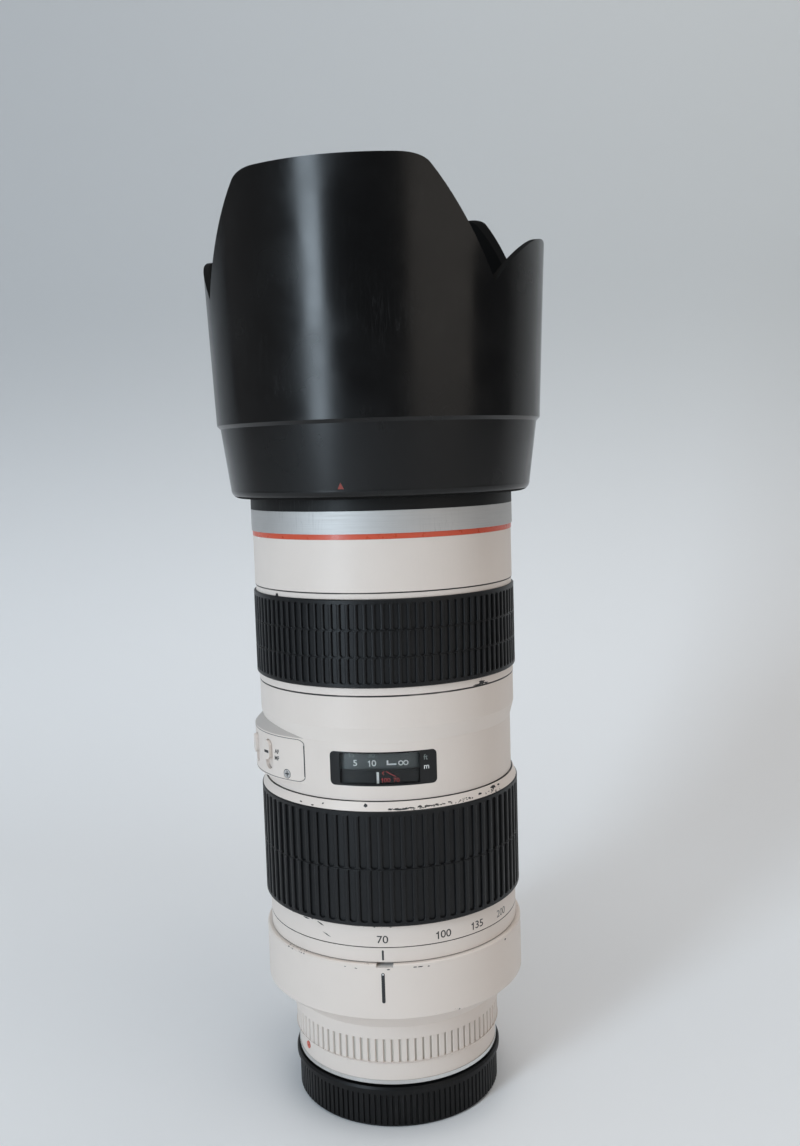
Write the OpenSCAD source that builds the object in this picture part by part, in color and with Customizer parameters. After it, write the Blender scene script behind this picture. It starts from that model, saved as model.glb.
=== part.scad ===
// Telephoto zoom lens with petal hood, rear cap and tripod collar, standing on its rear cap.
// Millimetres. Z is the optical axis, pointing to the front. The index line is on the -Y side.
// Angles are counted from the -Y side, positive towards +X.

/* [Rear cap and mount] */
// Radius of the rear cap at its lip
cap_r = 34.4; // [33:0.1:36]
// Height of the rear cap
cap_h = 13.7; // [13:0.1:16]
// Thickness of the cap's floor
cap_floor = 2; // [1.5:0.1:3]
// Wall of the cap between its ribs and its inside
cap_wall = 2.6; // [2:0.1:3.2]
// Number of grip ribs round the cap
cap_rib_count = 112; // [80:1:140]
// Depth of the cap's grip ribs
cap_rib_depth = 0.45; // [0.2:0.05:0.8]
// Height of the smooth lip above the cap's ribs
cap_lip_h = 2; // [1.5:0.1:3]
// How far the lip stands out of the cap's ribs
cap_lip_out = 0.9; // [0.5:0.1:1.2]
// Height of the plain band between the lip and the ribs
cap_plain_h = 1; // [0.5:0.1:2]
// Gap between the cap's lip and the mount flange
cap_gap = 0.8; // [0.4:0.1:1.5]
// Radius of the mount flange
flange_r = 33.5; // [32.5:0.1:33.9]
// Thickness of the mount flange
flange_t = 1.2; // [1:0.1:2]
// Outer radius of the bayonet tube
bayonet_r = 25.3; // [24.5:0.1:25.8]
// Wall of the bayonet tube
bayonet_wall = 2; // [1.5:0.1:2.5]
// How far the bayonet tube stands below the flange
bayonet_h = 6; // [5.5:0.1:7]
// Outer radius of the bayonet lugs
lug_r = 26.9; // [26.6:0.1:27.4]
// Thickness of the bayonet lugs
lug_t = 1.6; // [1.2:0.1:2]
// Width of one bayonet lug in degrees
lug_deg = 42; // [30:1:48]
// Turn that frees a bayonet, in degrees
twist_deg = 60; // [50:1:60]
// Number of flange screws
flange_screw_count = 4; // [3:1:6]
// Radius of the flange screws' shanks
flange_screw_r = 0.8; // [0.6:0.1:1]

/* [Rear barrel] */
// Radius of the plain band above the flange
rear_band_r = 33.2; // [32.6:0.1:33.8]
// Height of the plain band above the flange
rear_band_h = 5.3; // [4:0.1:7]
// Height of the small step above that band
rear_step_h = 1.1; // [0.6:0.1:2]
// How far the rear ribs stand out of the plain band
rear_rib_out = 0.8; // [0.4:0.1:1.4]
// Height of the rear ribs
rear_rib_h = 7.7; // [6:0.1:10]
// Number of rear ribs
rear_rib_count = 86; // [60:1:100]
// Depth of the grooves between the rear ribs
rear_rib_depth = 0.6; // [0.3:0.05:0.9]
// How far the band above the ribs stands out of the plain band
rear_top_out = 1.3; // [0.9:0.1:2]
// Height of the band above the ribs
rear_top_h = 4; // [3:0.1:8]
// Height of the cone that leads to the collar seat
rear_cone_h = 5.4; // [4:0.1:8]
// Wall of the rear barrel
rear_wall = 2.4; // [1.8:0.1:2.8]

/* [Tripod collar] */
// Wall of the rear barrel under the collar
collar_seat_t = 1.95; // [1.6:0.05:2.6]
// Height of the collar ring
collar_h = 18.5; // [14:0.1:20]
// Wall of the collar ring
collar_wall = 3.6; // [3:0.1:4]
// Bevel of the collar's lower edge
collar_bevel = 1.4; // [1:0.1:2.6]
// Width of the notch in the collar's upper rim
collar_notch_w = 5.2; // [3:0.1:8]
// Depth of that notch
collar_notch_h = 0.9; // [0.6:0.1:2]
// Place of the clamp round the collar in degrees
clamp_deg = -128; // [-135:1:-120]
// Width of the split at the clamp
clamp_slit = 2; // [1:0.1:3]
// Thickness of one clamp ear
ear_t = 5; // [4:0.1:7]
// Height of the clamp ears along the lens
ear_h = 11; // [9:0.1:13]
// Radius of the clamp screw
clamp_screw_r = 2; // [1.5:0.1:2.5]
// Radius of the clamp knob
knob_r = 7; // [6:0.1:8]
// Length of the clamp knob
knob_len = 12; // [9:0.1:14]
// Number of knob flutes
knob_flutes = 20; // [14:1:28]
// Distance from the collar to the foot's face
foot_stand = 27.5; // [24:0.5:36]
// Thickness of the foot plate
foot_t = 8; // [7:0.1:10]
// Width of the foot plate
foot_w = 33; // [28:0.5:38]
// Length of the foot plate
foot_len = 50; // [40:0.5:60]
// How far the foot plate starts below the collar
foot_drop = 3.2; // [2:0.1:10]
// Corner radius of the foot plate
foot_corner = 6; // [3:0.5:9]
// Width of the neck between collar and foot
neck_w = 20; // [16:0.5:24]
// Radius of the tripod thread
tripod_r = 3.175; // [3.175:0.001:4.763]
// Wall of the tripod thread insert
insert_wall = 1.6; // [1.2:0.1:2.5]

/* [Zoom ring] */
// Height of the fixed index ring
index_h = 4.55; // [3.5:0.05:7]
// Wall of the index ring over the main tube
index_wall = 4.1; // [3.8:0.1:4.6]
// Height of the zoom number band
zoom_number_h = 6.85; // [5:0.05:9]
// Height of the zoom grip
zoom_grip_h = 35.75; // [32:0.05:42]
// How far the zoom grip stands out of the number band
zoom_grip_proud = 1.3; // [0.8:0.1:1.8]
// Number of zoom grip ribs
zoom_rib_count = 76; // [60:1:90]
// Height of the band above the zoom grip
zoom_lip_h = 2.6; // [2:0.05:5]
// Zoom turn from the shortest to the longest focal length, in degrees
zoom_deg = 61.5; // [50:0.5:70]

/* [Centre barrel] */
// Room for the scale drum between the main tube and the centre barrel
centre_air = 2.3; // [2.1:0.05:2.8]
// How much the centre barrel widens below the focus ring
centre_widen = 1.2; // [0.6:0.1:1.8]
// Height of the centre barrel
centre_h = 31.95; // [31:0.05:38]
// Height above the window zone where the barrel starts to widen
widen_up = 17.6; // [16.5:0.1:20]
// Height over which the barrel widens
widen_h = 4.6; // [3:0.1:8]
// Wall of the centre barrel
centre_wall = 1.2; // [1:0.05:1.5]
// Left edge of the window in degrees
window_left_deg = -21; // [-26:0.5:-16]
// Right edge of the window in degrees
window_right_deg = 26; // [20:0.5:30]
// Height of the window
window_h = 10.4; // [8:0.1:12]
// Height of the window's sill above the barrel's lower edge
window_up = 4.45; // [3:0.05:6]
// Corner radius of the window
window_corner = 1.4; // [0.8:0.1:2.4]
// Height of the fixed index plate behind the window
window_plate_h = 4.7; // [3:0.1:6]
// Middle of the switch panel in degrees
panel_deg = -75; // [-80:1:-66]
// Half width of the switch panel in degrees
panel_half_deg = 40.2; // [37:0.1:42]
// Height of the switch panel's flat part
panel_h = 13; // [12:0.1:14]
// Height of the sloping shoulder above the switch panel
panel_slope_h = 4.2; // [2:0.1:5]
// Height of the panel's lower edge above the barrel's lower edge
panel_up = 3.85; // [3:0.05:5]
// Thickness of the switch panel
panel_t = 0.7; // [0.5:0.05:0.8]
// Corner radius of the switch panel
panel_corner = 1.6; // [0.8:0.1:3]
// How far the panel stands out in its middle
panel_proud = 3.4; // [2.8:0.1:4]
// Width of a switch
switch_w = 3.6; // [3:0.1:5]
// Travel of a switch
switch_travel = 3; // [2:0.1:4]
// Angle between the two switches in degrees
switch_step_deg = 18.5; // [15:0.5:22]
// Radius of the panel screw heads
panel_screw_r = 1.3; // [1:0.1:1.4]

/* [Focus ring] */
// Height of the band below the focus grip
focus_low_h = 2.4; // [1.5:0.05:4]
// Height of the focus grip
focus_grip_h = 26.5; // [22:0.05:32]
// How far the focus grip stands out of the bands beside it
focus_grip_proud = 0.7; // [0.4:0.1:1.2]
// Number of focus grip ribs
focus_rib_count = 100; // [80:1:120]
// Height of the band above the focus grip
focus_top_h = 1.65; // [1.2:0.05:3]
// Wall of the focus ring's bands over the main tube
focus_wall = 4.8; // [4.4:0.1:5.2]
// Depth of the ribs of both grips
grip_rib_depth = 0.7; // [0.4:0.05:0.9]
// Height of the groove between two rows of ribs
grip_groove_h = 0.7; // [0.4:0.05:1.2]
// Thickness of both rubber grips over their ribs
grip_t = 2; // [1.6:0.1:2.4]
// Turn of the distance scale from its rest to its far stop, in degrees
scale_far_deg = 13; // [12:0.5:16]
// Turn of the distance scale from its rest to its near stop, in degrees
scale_near_deg = 75; // [60:0.5:76]

/* [Front] */
// How far the front barrel stands out of the main tube
front_stand = 5; // [4.6:0.1:5.4]
// Height of the front barrel
front_h = 15.75; // [12:0.05:20]
// Height of the red ring
red_h = 1.6; // [1:0.1:2.5]
// Height of the silver band
band_h = 6.7; // [5:0.1:9]
// How far the silver band and the front rim stand out of the front barrel
band_proud = 0.4; // [0.2:0.1:0.8]
// Height of the front rim
rim_h = 13; // [11:0.1:15]
// How far the filter thread is outside the main tube
filter_step = 1.6; // [1.3:0.1:2]
// Depth of the filter thread
filter_h = 4.5; // [3.5:0.1:6]

/* [Hood] */
// Height of the bare rim between the silver band and the hood
hood_up = 3.6; // [2:0.1:4.5]
// How far the hood's lower edge is outside its bore
hood_flare = 5.6; // [4.6:0.1:7]
// How far the hood widens up to its step
hood_neck_out = 2.5; // [1.8:0.1:3.2]
// How far the hood's step stands out
hood_step_out = 1.1; // [0.6:0.1:2]
// How far the hood widens from its step to its mouth
hood_mouth_out = 3; // [1.5:0.1:5]
// Height of the hood's lower part
hood_low_h = 21.8; // [18:0.1:26]
// Height of the whole hood
hood_h = 94.2; // [88:0.1:105]
// Wall of the hood
hood_wall = 1.7; // [1.4:0.1:2.2]
// Rounding of the hood's lower edge
hood_round = 2.8; // [1.5:0.1:3.4]
// Turn of the hood's petals against the index line, in degrees
hood_deg = -9.3; // [-20:0.1:20]
// How far the long petals' flanks are inside the mouth's radius
petal_in = 7.1; // [6:0.05:9]
// How far the notches are inside the mouth's radius
notch_in = 24.9; // [21:0.1:27]
// Height of the notches below the mouth
notch_drop = 34.5; // [30:0.1:38]
// How much larger the short petals' radius is than the notches' half width
short_petal_over = 7.5; // [3:0.1:12]
// Height of the short petals below the mouth
short_petal_drop = 17.6; // [14:0.1:20]
// Rounding of the long petals' corners
petal_corner_r = 5; // [2:0.5:8]

/* [Optics and mechanism] */
// Outer radius of the fixed main tube
main_r = 36.9; // [36.7:0.05:37.1]
// Wall of the main tube
main_wall = 1.75; // [1.5:0.05:1.9]
// Wall of the two cam tubes
cam_wall = 1.5; // [1.2:0.05:1.8]
// Diameter of the cam follower pins
pin_d = 3; // [2.4:0.1:3.4]
// Travel of the variator group along the axis
variator_travel = 16; // [13:0.5:16]
// Travel of the compensator group along the axis
compensator_travel = 6; // [5:0.25:6]
// Travel of the focus group along the axis
focus_travel = 12; // [10:0.5:13]
// Height of a moving lens cell
cell_h = 9; // [8:0.1:10]
// Wall of a moving lens cell
cell_wall = 2.4; // [2:0.1:3]
// Width of the variator's cell round its glass
variator_rim = 13.55; // [10:0.05:16]
// Width of the compensator's cell round its glass
compensator_rim = 11.55; // [9:0.05:15]
// Width of the focus group's cell round its glass
focus_rim = 6.55; // [5.5:0.05:10]
// Thickness of a lens at its edge
glass_edge = 3; // [2:0.1:4]
// Width of the diaphragm plates inside the main tube
iris_rim = 14.15; // [12.5:0.05:16]
// Number of diaphragm blades
iris_count = 8; // [8:1:8]
// Thickness of one diaphragm blade
blade_t = 0.25; // [0.2:0.05:0.3]
// Distance from one blade to the next along the axis
blade_step = 0.45; // [0.4:0.05:0.6]
// Gap between the rear lens tube and the rear barrel
rear_cell_gap = 2.8; // [1.8:0.1:4]
// Length of the rear lens tube
rear_cell_h = 33; // [28:0.5:33]
// Thickness of the motor's stator
stator_h = 3.2; // [2:0.1:3.2]

/* [Clearances] */
// Gap between a turning ring and its neighbour along the axis
ring_gap = 0.2; // [0.1:0.05:0.4]
// Running clearance of a tube on a tube
run_gap = 0.05; // [0.02:0.01:0.08]
// Gap between moving pieces that only pass each other
free_gap = 0.3; // [0.25:0.05:0.5]
// Gap round a fixed inlay
inlay_gap = 0.05; // [0.02:0.01:0.1]

/* [Hidden] */
$fn = 96;
lens_fn = 1440;
cut = 1;

// Levels along the axis, stacked from the cap's floor to the hood's mouth
z_flange = cap_h + cap_gap;
z_rear = z_flange + flange_t;
z_step = z_rear + rear_band_h;
z_ribs = z_step + rear_step_h;
z_top_band = z_ribs + rear_rib_h;
z_cone = z_top_band + rear_top_h;
z_collar = z_cone + rear_cone_h;
z_index = z_collar + collar_h + ring_gap;
z_zoom = z_index + index_h + ring_gap;
z_zoom_grip = z_zoom + zoom_number_h;
z_zoom_lip = z_zoom_grip + zoom_grip_h;
z_zoom_top = z_zoom_lip + zoom_lip_h;
z_centre = z_zoom_top + ring_gap;
z_centre_top = z_centre + centre_h;
z_focus = z_centre_top + ring_gap;
z_focus_grip = z_focus + focus_low_h;
z_focus_lip = z_focus_grip + focus_grip_h;
z_focus_top = z_focus_lip + focus_top_h;
z_front = z_focus_top + ring_gap;
z_red = z_front + front_h;
z_band = z_red + red_h;
z_rim = z_band + band_h;
z_front_top = z_rim + rim_h;
z_hood = z_rim + hood_up;
z_hood_step = z_hood + hood_low_h;
z_hood_top = z_hood + hood_h;

// Fits between the tubes, from the main tube inwards and outwards
main_in = main_r - main_wall;
cam_r = main_in - run_gap;
cam_in = cam_r - cam_wall;
cell_r = cam_in - run_gap;
sleeve_bore = main_r + run_gap;
index_r = main_r + index_wall;
zoom_grip_r = index_r + zoom_grip_proud;
zoom_seat_r = zoom_grip_r - grip_t;
focus_band_r = main_r + focus_wall;
focus_grip_r = focus_band_r + focus_grip_proud;
focus_seat_r = focus_grip_r - grip_t;
collar_seat_r = main_r + collar_seat_t;
collar_bore = collar_seat_r + run_gap;
collar_r = collar_bore + collar_wall;
centre_in = main_r + centre_air;
centre_r = centre_in + centre_wall;
centre_top_r = centre_r + centre_widen;
front_r = main_r + front_stand;
band_r = front_r + band_proud;
filter_r = main_r + filter_step;
flange_lip = 2;
z_main = z_collar + flange_lip;
main_top_drop = 2.4;
z_main_top = z_rim - main_top_drop;

// Cap and mount
cap_rib_land = 0.62;
cap_bevel = 0.8;
cap_in = cap_r - cap_rib_depth - cap_wall;
cap_ring_t = 2.4;
lug_count = 3;
lug_play_deg = 4;
lug_play = 0.45;
z_lug = z_flange - bayonet_h;
z_cap_ring = z_lug + lug_t + ring_gap;
bayonet_in = bayonet_r - bayonet_wall;
flange_screw_ring = (bayonet_r + flange_r) / 2;
flange_head_r = 2 * flange_screw_r;
flange_head_t = 0.7;
rear_floor_t = 2.5;
rear_floor_step = 0.7;
rear_floor_in = bayonet_in + rear_floor_step;
contact_t = 3;
contact_half_deg = 42;
contact_count = 8;
contact_r = 0.7;
contact_proud = 0.5;
baffle_w = 27;
baffle_h = 20;
dot_deg = -57;
dot_r = 1.2;
dot_proud = 0.15;
dot_sunk = 0.8;
dot_drop = 1.9;
board_t = 1.2;
board_w = 5;
board_up = 5;
rear_rib_land = 0.6;
rear_in = rear_band_r - rear_wall;
rear_rib_r = rear_band_r + rear_rib_out;
rear_top_r = rear_band_r + rear_top_out;
rib_root = 0.2;
rear_core_r = rear_rib_r - rear_rib_depth - rib_root;
rear_ledge_r = rear_rib_r + rib_root;

// Collar clamp and foot
clamp_z = z_collar + collar_h / 2;
knob_air = 0.8;
clamp_y = -(collar_r + knob_r + knob_air);
ear_x = clamp_slit / 2 + ear_t;
ear_sunk = 2;
knob_gap = 0.3;
knob_flute_depth = 0.6;
knob_flute_land = 0.55;
collar_top_bevel = 0.4;
notch_deg = 0.8;
foot_reach = collar_r + foot_stand;
foot_z = z_collar - foot_drop;
foot_mid_z = foot_z + foot_len / 2;
neck_low = 2;
neck_flare = 9;
neck_top_drop = 1.5;
insert_len = 7;

// Grips
grip_land = 0.6;
grip_flank = 0.12;
zoom_rows = 2;
focus_rows = 3;
zoom_lip_step = 0.3;
zoom_lip_r = zoom_grip_r - zoom_lip_step;
zoom_lip_proud = 0.5;
zoom_lip_top_r = centre_r + zoom_lip_proud;

// Window, scale and switch panel
z_window = z_centre + window_up;
z_panel = z_centre + panel_up;
plate_t = 0.6;
plate_margin = 1;
cover_t = 0.9;
cover_sunk = 0.15;
drum_t = 0.7;
drum_air = 0.3;
drum_r = centre_in - plate_t - drum_air;
drum_low = 3;
panel_mid_r = centre_r + panel_proud;
panel_shift = (panel_mid_r * panel_mid_r - centre_r * centre_r)
    / (2 * (panel_mid_r - centre_r * cos(panel_half_deg)));
panel_curve_r = panel_mid_r - panel_shift;
panel_sunk = 0.5;
panel_rim = 0.6;
panel_gap = 0.2;
panel_over_deg = 2;
bulge_root = 0.4;
panel_screw_deg = 40.6;
panel_screw_up = 1.7;
panel_head_t = 0.5;
panel_head_gap = 0.2;
panel_shank_r = 0.7;
panel_shank_len = 2;
screw_cross_w = 0.45;
screw_cross_len = 1.9;
screw_cross_t = 0.35;
switch_len = 6;
switch_recess = 1.2;
switch_proud = 0.9;
switch_mid_up = panel_h / 2;
switch_first_deg = 25;

// Cam tubes, followers and lens cells
follower_count = 3;
groove_depth = 1;
slot_w = pin_d + free_gap;
slot_reach = slot_w / 2 + free_gap;
slice_deg = 4;
follower_tip_r = main_in + groove_depth - free_gap;
iris_up = 9.35;
z_iris = z_zoom + iris_up;
iris_base_t = 2;
z_blades = z_iris + iris_base_t + free_gap;
z_iris_ring = z_blades + iris_count * blade_step + free_gap;
iris_ring_t = 1.5;
iris_cover_t = 1.2;
z_iris_cover = z_iris_ring + iris_ring_t + free_gap;
z_iris_top = z_iris_cover + iris_cover_t;
zoom_cam_up = 2.6;
z_zoom_cam = z_iris_top + zoom_cam_up;
cam_split_up = 18;
z_cam_split = z_centre + cam_split_up;
cam_split_gap = 0.5;
variator_drop = 5;
z_variator = z_cam_split - variator_drop;
compensator_up = 8;
z_compensator = z_zoom_cam + compensator_up;
focus_pin_drop = 3;
z_focus_pin = z_front - focus_pin_drop;
focus_cam_drop = 1;
z_focus_cam_top = z_red - focus_cam_drop;
variator_glass_r = cell_r - variator_rim;
compensator_glass_r = cell_r - compensator_rim;
focus_glass_r = cell_r - focus_rim;
pin_edge = 2.2;
zoom_key_deg = -150;
zoom_key_up = 2.5;
focus_key_deg = 150;
focus_key_up = 3.5;
key_d = 3;
key_sunk = 0.2;
scale_deg = scale_far_deg + scale_near_deg;
focus_rest = focus_travel * scale_far_deg / scale_deg;
cell_ledge = 1.2;
cell_ledge_t = 1;
cell_web_t = 2.4;
bulge = 2.6;
dish = 2.4;
dish_mid_t = 1.4;
rotor_h = 2.4;
z_stator = z_centre_top - flange_lip - stator_h;
z_rotor = z_stator - free_gap - rotor_h;
motor_out_r = centre_in - free_gap;

// Diaphragm
blade_deg = 75;
blade_w = 6.5;
iris_r = main_in - iris_rim;
blade_pivot_edge = 6.15;
blade_pivot_r = main_in - blade_pivot_edge;
blade_arm = 4.5;
blade_lobe_r = 1.5;
pivot_r = 0.9;
pivot_gap = 0.08;
drive_r = 0.6;
drive_play = 0.3;
drive_slot_reach = 1.2;
iris_motor_h = 11;
iris_motor_deg = 100;

// Front and hood
skirt_t = 1.7;
skirt_r = main_r + skirt_t;
skirt_up = 4;
front_wall = 1.9;
red_proud = 0.1;
red_r = front_r + red_proud;
element_seat_step = 1.1;
element_seat_r = filter_r - element_seat_step;
element_ledge_step = 0.7;
element_ledge_r = main_in + element_ledge_step;
element_up = 0.5;
element_front = 4;
retainer_up = 0.35;
retainer_t = 2;
retainer_w = 1.4;
rear_cell_r = rear_in - rear_cell_gap;
motor_air = 0.575;
iris_motor_r = (main_in - rear_cell_r) / 2 - motor_air;
rear_cell_drop = 3.2;
rear_cell_wall = 2;
rear_cell_flange_up = 9;
rear_cell_flange_t = 3;
hood_bore = band_r + free_gap;
hood_low_r = hood_bore + hood_flare;
hood_neck_r = hood_low_r + hood_neck_out;
hood_step_r = hood_neck_r + hood_step_out;
hood_mouth_r = hood_step_r + hood_mouth_out;
petal_half_w = hood_mouth_r - petal_in;
notch_half_w = hood_mouth_r - notch_in;
short_petal_r = notch_half_w + short_petal_over;
hood_floor = 3;
tab_deg = 20;
tab_count = 3;
tab_t = 1.6;
tab_depth = 1;
tab_up = 0.9;
groove_r = band_r - tab_depth - free_gap;
groove_low = tab_up - free_gap;
groove_h = tab_t + 2 * free_gap;
round_steps = 8;
petal_slope = notch_drop / (petal_half_w - notch_half_w);
petal_turn = atan(petal_slope);
petal_tangent = petal_corner_r * tan(petal_turn / 2);
petal_z = z_hood_top - notch_drop;

cream = [0.87, 0.85, 0.81];
black = [0.07, 0.07, 0.075];
rubber = [0.13, 0.135, 0.14];
metal = [0.72, 0.72, 0.73];
glass = [0.62, 0.72, 0.78, 0.5];
brass_tone = [0.78, 0.66, 0.38];
red = [0.86, 0.26, 0.16];

// A point at an angle from the -Y side
function polar(r, deg) = [r * sin(deg), -r * cos(deg)];

// Outline of a ribbed ring: lands at r_top, grooves at r_low
function ribbed(count, r_top, r_low, land, flank) = [
    for (i = [0 : count - 1])
        let (pitch = 360 / count)
        for (corner = [[-land / 2 - flank, r_low], [-land / 2, r_top], [land / 2, r_top], [land / 2 + flank, r_low]])
            polar(corner[1], (i + corner[0]) * pitch)
];

// Angle that a slanted slot takes up round a cam tube
function slot_deg(travel, deg) =
    slot_w * sqrt(pow(travel, 2) + pow(PI * cam_in * deg / 180, 2)) / (travel * cam_in) * 180 / PI;

// Radius of a spherical face from its rim radius and its bulge
function dome_r(r, rise) = (r * r + rise * rise) / (2 * rise);

module ring(r_in, r_out, z_low, z_high) {
    rotate_extrude() translate([r_in, z_low]) square([r_out - r_in, z_high - z_low]);
}

module arc_ring(deg_low, deg_high, r_in, r_out, z_low, z_high) {
    rotate([0, 0, deg_low - 90]) rotate_extrude(angle = deg_high - deg_low)
        translate([r_in, z_low]) square([r_out - r_in, z_high - z_low]);
}

module radial_pin(deg, z, r_low, r_high, d) {
    rotate([0, 0, deg]) translate([0, -r_low, z]) rotate([90, 0, 0]) cylinder(d = d, h = r_high - r_low);
}

module rounded_rect(w, h, r) {
    translate([r, 0]) square([w - 2 * r, h]);
    translate([0, r]) square([w, h - 2 * r]);
    for (x = [r, w - r], y = [r, h - r]) translate([x, y]) circle(r);
}

// A prism that points out of the axis, drawn as seen from outside
module radial_prism(deg, r_low, r_high) {
    rotate([0, 0, deg]) translate([0, -r_low, 0]) rotate([90, 0, 0]) linear_extrude(r_high - r_low) children();
}

module grip(r, seat_r, z_low, h, ribs, rows) {
    row_h = (h - (rows - 1) * grip_groove_h) / rows;
    difference() {
        union() {
            for (row = [0 : rows - 1])
                translate([0, 0, z_low + row * (row_h + grip_groove_h)])
                    linear_extrude(row_h) polygon(ribbed(ribs, r, r - grip_rib_depth, grip_land, grip_flank));
            translate([0, 0, z_low]) cylinder(r = r - grip_rib_depth - rib_root, h = h);
        }
        translate([0, 0, z_low - cut]) cylinder(r = seat_r, h = h + 2 * cut);
    }
}

// Lenses are turned from a profile whose faces are arcs centred on the axis
module convex_lens(r, z, edge, front, back) {
    front_r = dome_r(r, front);
    back_r = dome_r(r, back);
    rotate_extrude() intersection() {
        translate([0, z - back]) square([r, edge + front + back]);
        translate([0, z + edge + front - front_r]) circle(front_r, $fn = lens_fn);
        translate([0, z - back + back_r]) circle(back_r, $fn = lens_fn);
    }
}

module flat_back_lens(r, z, edge, front) {
    front_r = dome_r(r, front);
    rotate_extrude() intersection() {
        translate([0, z]) square([r, edge + front]);
        translate([0, z + edge + front - front_r]) circle(front_r, $fn = lens_fn);
    }
}

module concave_lens(r, z, edge, depth) {
    face_r = dome_r(r, depth);
    rotate_extrude() difference() {
        translate([0, z]) square([r, edge]);
        translate([0, z + edge - depth + face_r]) circle(face_r, $fn = lens_fn);
    }
}

// Slanted slots through a cam tube, from one end of the followers' travel to the other
module cam_slots(z_low, z_high, deg_low, deg_high) {
    travel = z_high - z_low;
    turn = deg_high - deg_low;
    per_mm = turn / travel;
    half = slot_deg(travel, abs(turn)) / 2;
    outer = (cam_r + cut) / cos(half);
    height = travel + 2 * slot_reach;
    start = deg_low - per_mm * slot_reach;
    for (i = [0 : follower_count - 1])
        rotate([0, 0, i * 360 / follower_count + start]) translate([0, 0, z_low - slot_reach])
            linear_extrude(height, twist = -per_mm * height, slices = ceil(abs(per_mm * height) / slice_deg), $fn = 4)
                polygon([polar(cam_in - cut, -half), polar(outer, -half), polar(outer, half),
                    polar(cam_in - cut, half)]);
}

module followers(z) {
    for (i = [0 : follower_count - 1])
        radial_pin(i * 360 / follower_count, z, cell_r - cell_wall / 2, follower_tip_r, pin_d);
}

// A lens cell with its followers, a web and a seat for a glass of radius seat_r
module lens_cell(z_low, z_pin, seat_r) {
    rotate_extrude() polygon([
        [seat_r - cell_ledge, z_low], [cell_r, z_low], [cell_r, z_low + cell_h],
        [cell_r - cell_wall, z_low + cell_h], [cell_r - cell_wall, z_low + cell_web_t],
        [seat_r + cell_wall, z_low + cell_web_t], [seat_r + cell_wall, z_low + cell_h],
        [seat_r + inlay_gap, z_low + cell_h], [seat_r + inlay_gap, z_low + cell_ledge_t],
        [seat_r - cell_ledge, z_low + cell_ledge_t]
    ]);
    followers(z_pin);
}

module bayonet_arcs(count, width_deg, offset_deg, r_in, r_out, z_low, z_high) {
    for (i = [0 : count - 1])
        arc_ring(i * 360 / count + offset_deg - width_deg / 2, i * 360 / count + offset_deg + width_deg / 2,
            r_in, r_out, z_low, z_high);
}

module rear_cap() {
    z_lip = cap_h - cap_lip_h;
    z_plain = z_lip - cap_plain_h;
    rib_r = cap_r - cap_lip_out;
    color(black) difference() {
        union() {
            cylinder(r1 = rib_r - cap_bevel, r2 = rib_r - cap_rib_depth / 2, h = cap_bevel);
            translate([0, 0, cap_bevel]) linear_extrude(z_plain - cap_bevel)
                polygon(ribbed(cap_rib_count, rib_r, rib_r - cap_rib_depth, cap_rib_land, grip_flank));
            translate([0, 0, z_plain]) cylinder(r = rib_r + inlay_gap, h = cap_plain_h);
            translate([0, 0, z_lip]) cylinder(r = cap_r, h = cap_lip_h - cap_bevel);
            translate([0, 0, cap_h - cap_bevel]) cylinder(r1 = cap_r, r2 = cap_r - cap_bevel / 2, h = cap_bevel);
        }
        difference() {
            translate([0, 0, cap_floor]) cylinder(r = cap_in, h = cap_h);
            difference() {
                ring(bayonet_r + lug_play, cap_in + cut, z_cap_ring, z_cap_ring + cap_ring_t);
                bayonet_arcs(lug_count, lug_deg + lug_play_deg, twist_deg, bayonet_r, lug_r + lug_play,
                    z_cap_ring - cut, z_cap_ring + cap_ring_t + cut);
            }
        }
    }
}

module flange_screw_places() {
    for (i = [0 : flange_screw_count - 1])
        rotate([0, 0, (i + 0.5) * 360 / flange_screw_count]) translate([0, -flange_screw_ring, 0]) children();
}

module flange_screw(gap) {
    translate([0, 0, z_flange]) cylinder(r = flange_head_r + gap, h = flange_head_t);
    translate([0, 0, z_flange]) cylinder(r = flange_screw_r + gap, h = flange_t + rear_floor_t);
}

module mount_flange() {
    color(metal) difference() {
        union() {
            ring(bayonet_in, flange_r, z_flange, z_rear);
            ring(bayonet_in, bayonet_r, z_lug, z_rear);
            bayonet_arcs(lug_count, lug_deg, 0, bayonet_in, lug_r, z_lug, z_lug + lug_t);
        }
        flange_screw_places() flange_screw(inlay_gap);
    }
}

module mount_screws() {
    color(metal) flange_screw_places() flange_screw(0);
}

module contact_block() {
    color(black) difference() {
        arc_ring(180 - contact_half_deg, 180 + contact_half_deg, bayonet_in - contact_t, bayonet_in - inlay_gap,
            z_lug + contact_proud, z_rear);
        contact_places() cylinder(r = contact_r + inlay_gap, h = z_flange);
    }
}

module contact_places() {
    for (i = [0 : contact_count - 1])
        rotate([0, 0, 180 + contact_half_deg * (2 * i - contact_count + 1) / contact_count])
            translate([0, -(bayonet_in - contact_t / 2), z_lug]) children();
}

module contact_pins() {
    color(brass_tone) contact_places() cylinder(r = contact_r, h = bayonet_h);
}

module rear_baffle() {
    color(black) difference() {
        translate([0, 0, z_rear]) cylinder(r = rear_floor_in - inlay_gap, h = rear_floor_t);
        translate([-baffle_w / 2, -baffle_h / 2, z_rear - cut]) cube([baffle_w, baffle_h, rear_floor_t + 2 * cut]);
    }
}

module mount_index_dot() {
    color(red) radial_pin(dot_deg, z_step - dot_drop, rear_band_r - dot_sunk, rear_band_r + dot_proud, 2 * dot_r);
}

module circuit_board() {
    color([0.1, 0.3, 0.16]) ring(rear_in - board_w, rear_in - inlay_gap, z_rear + board_up,
        z_rear + board_up + board_t);
}

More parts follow.
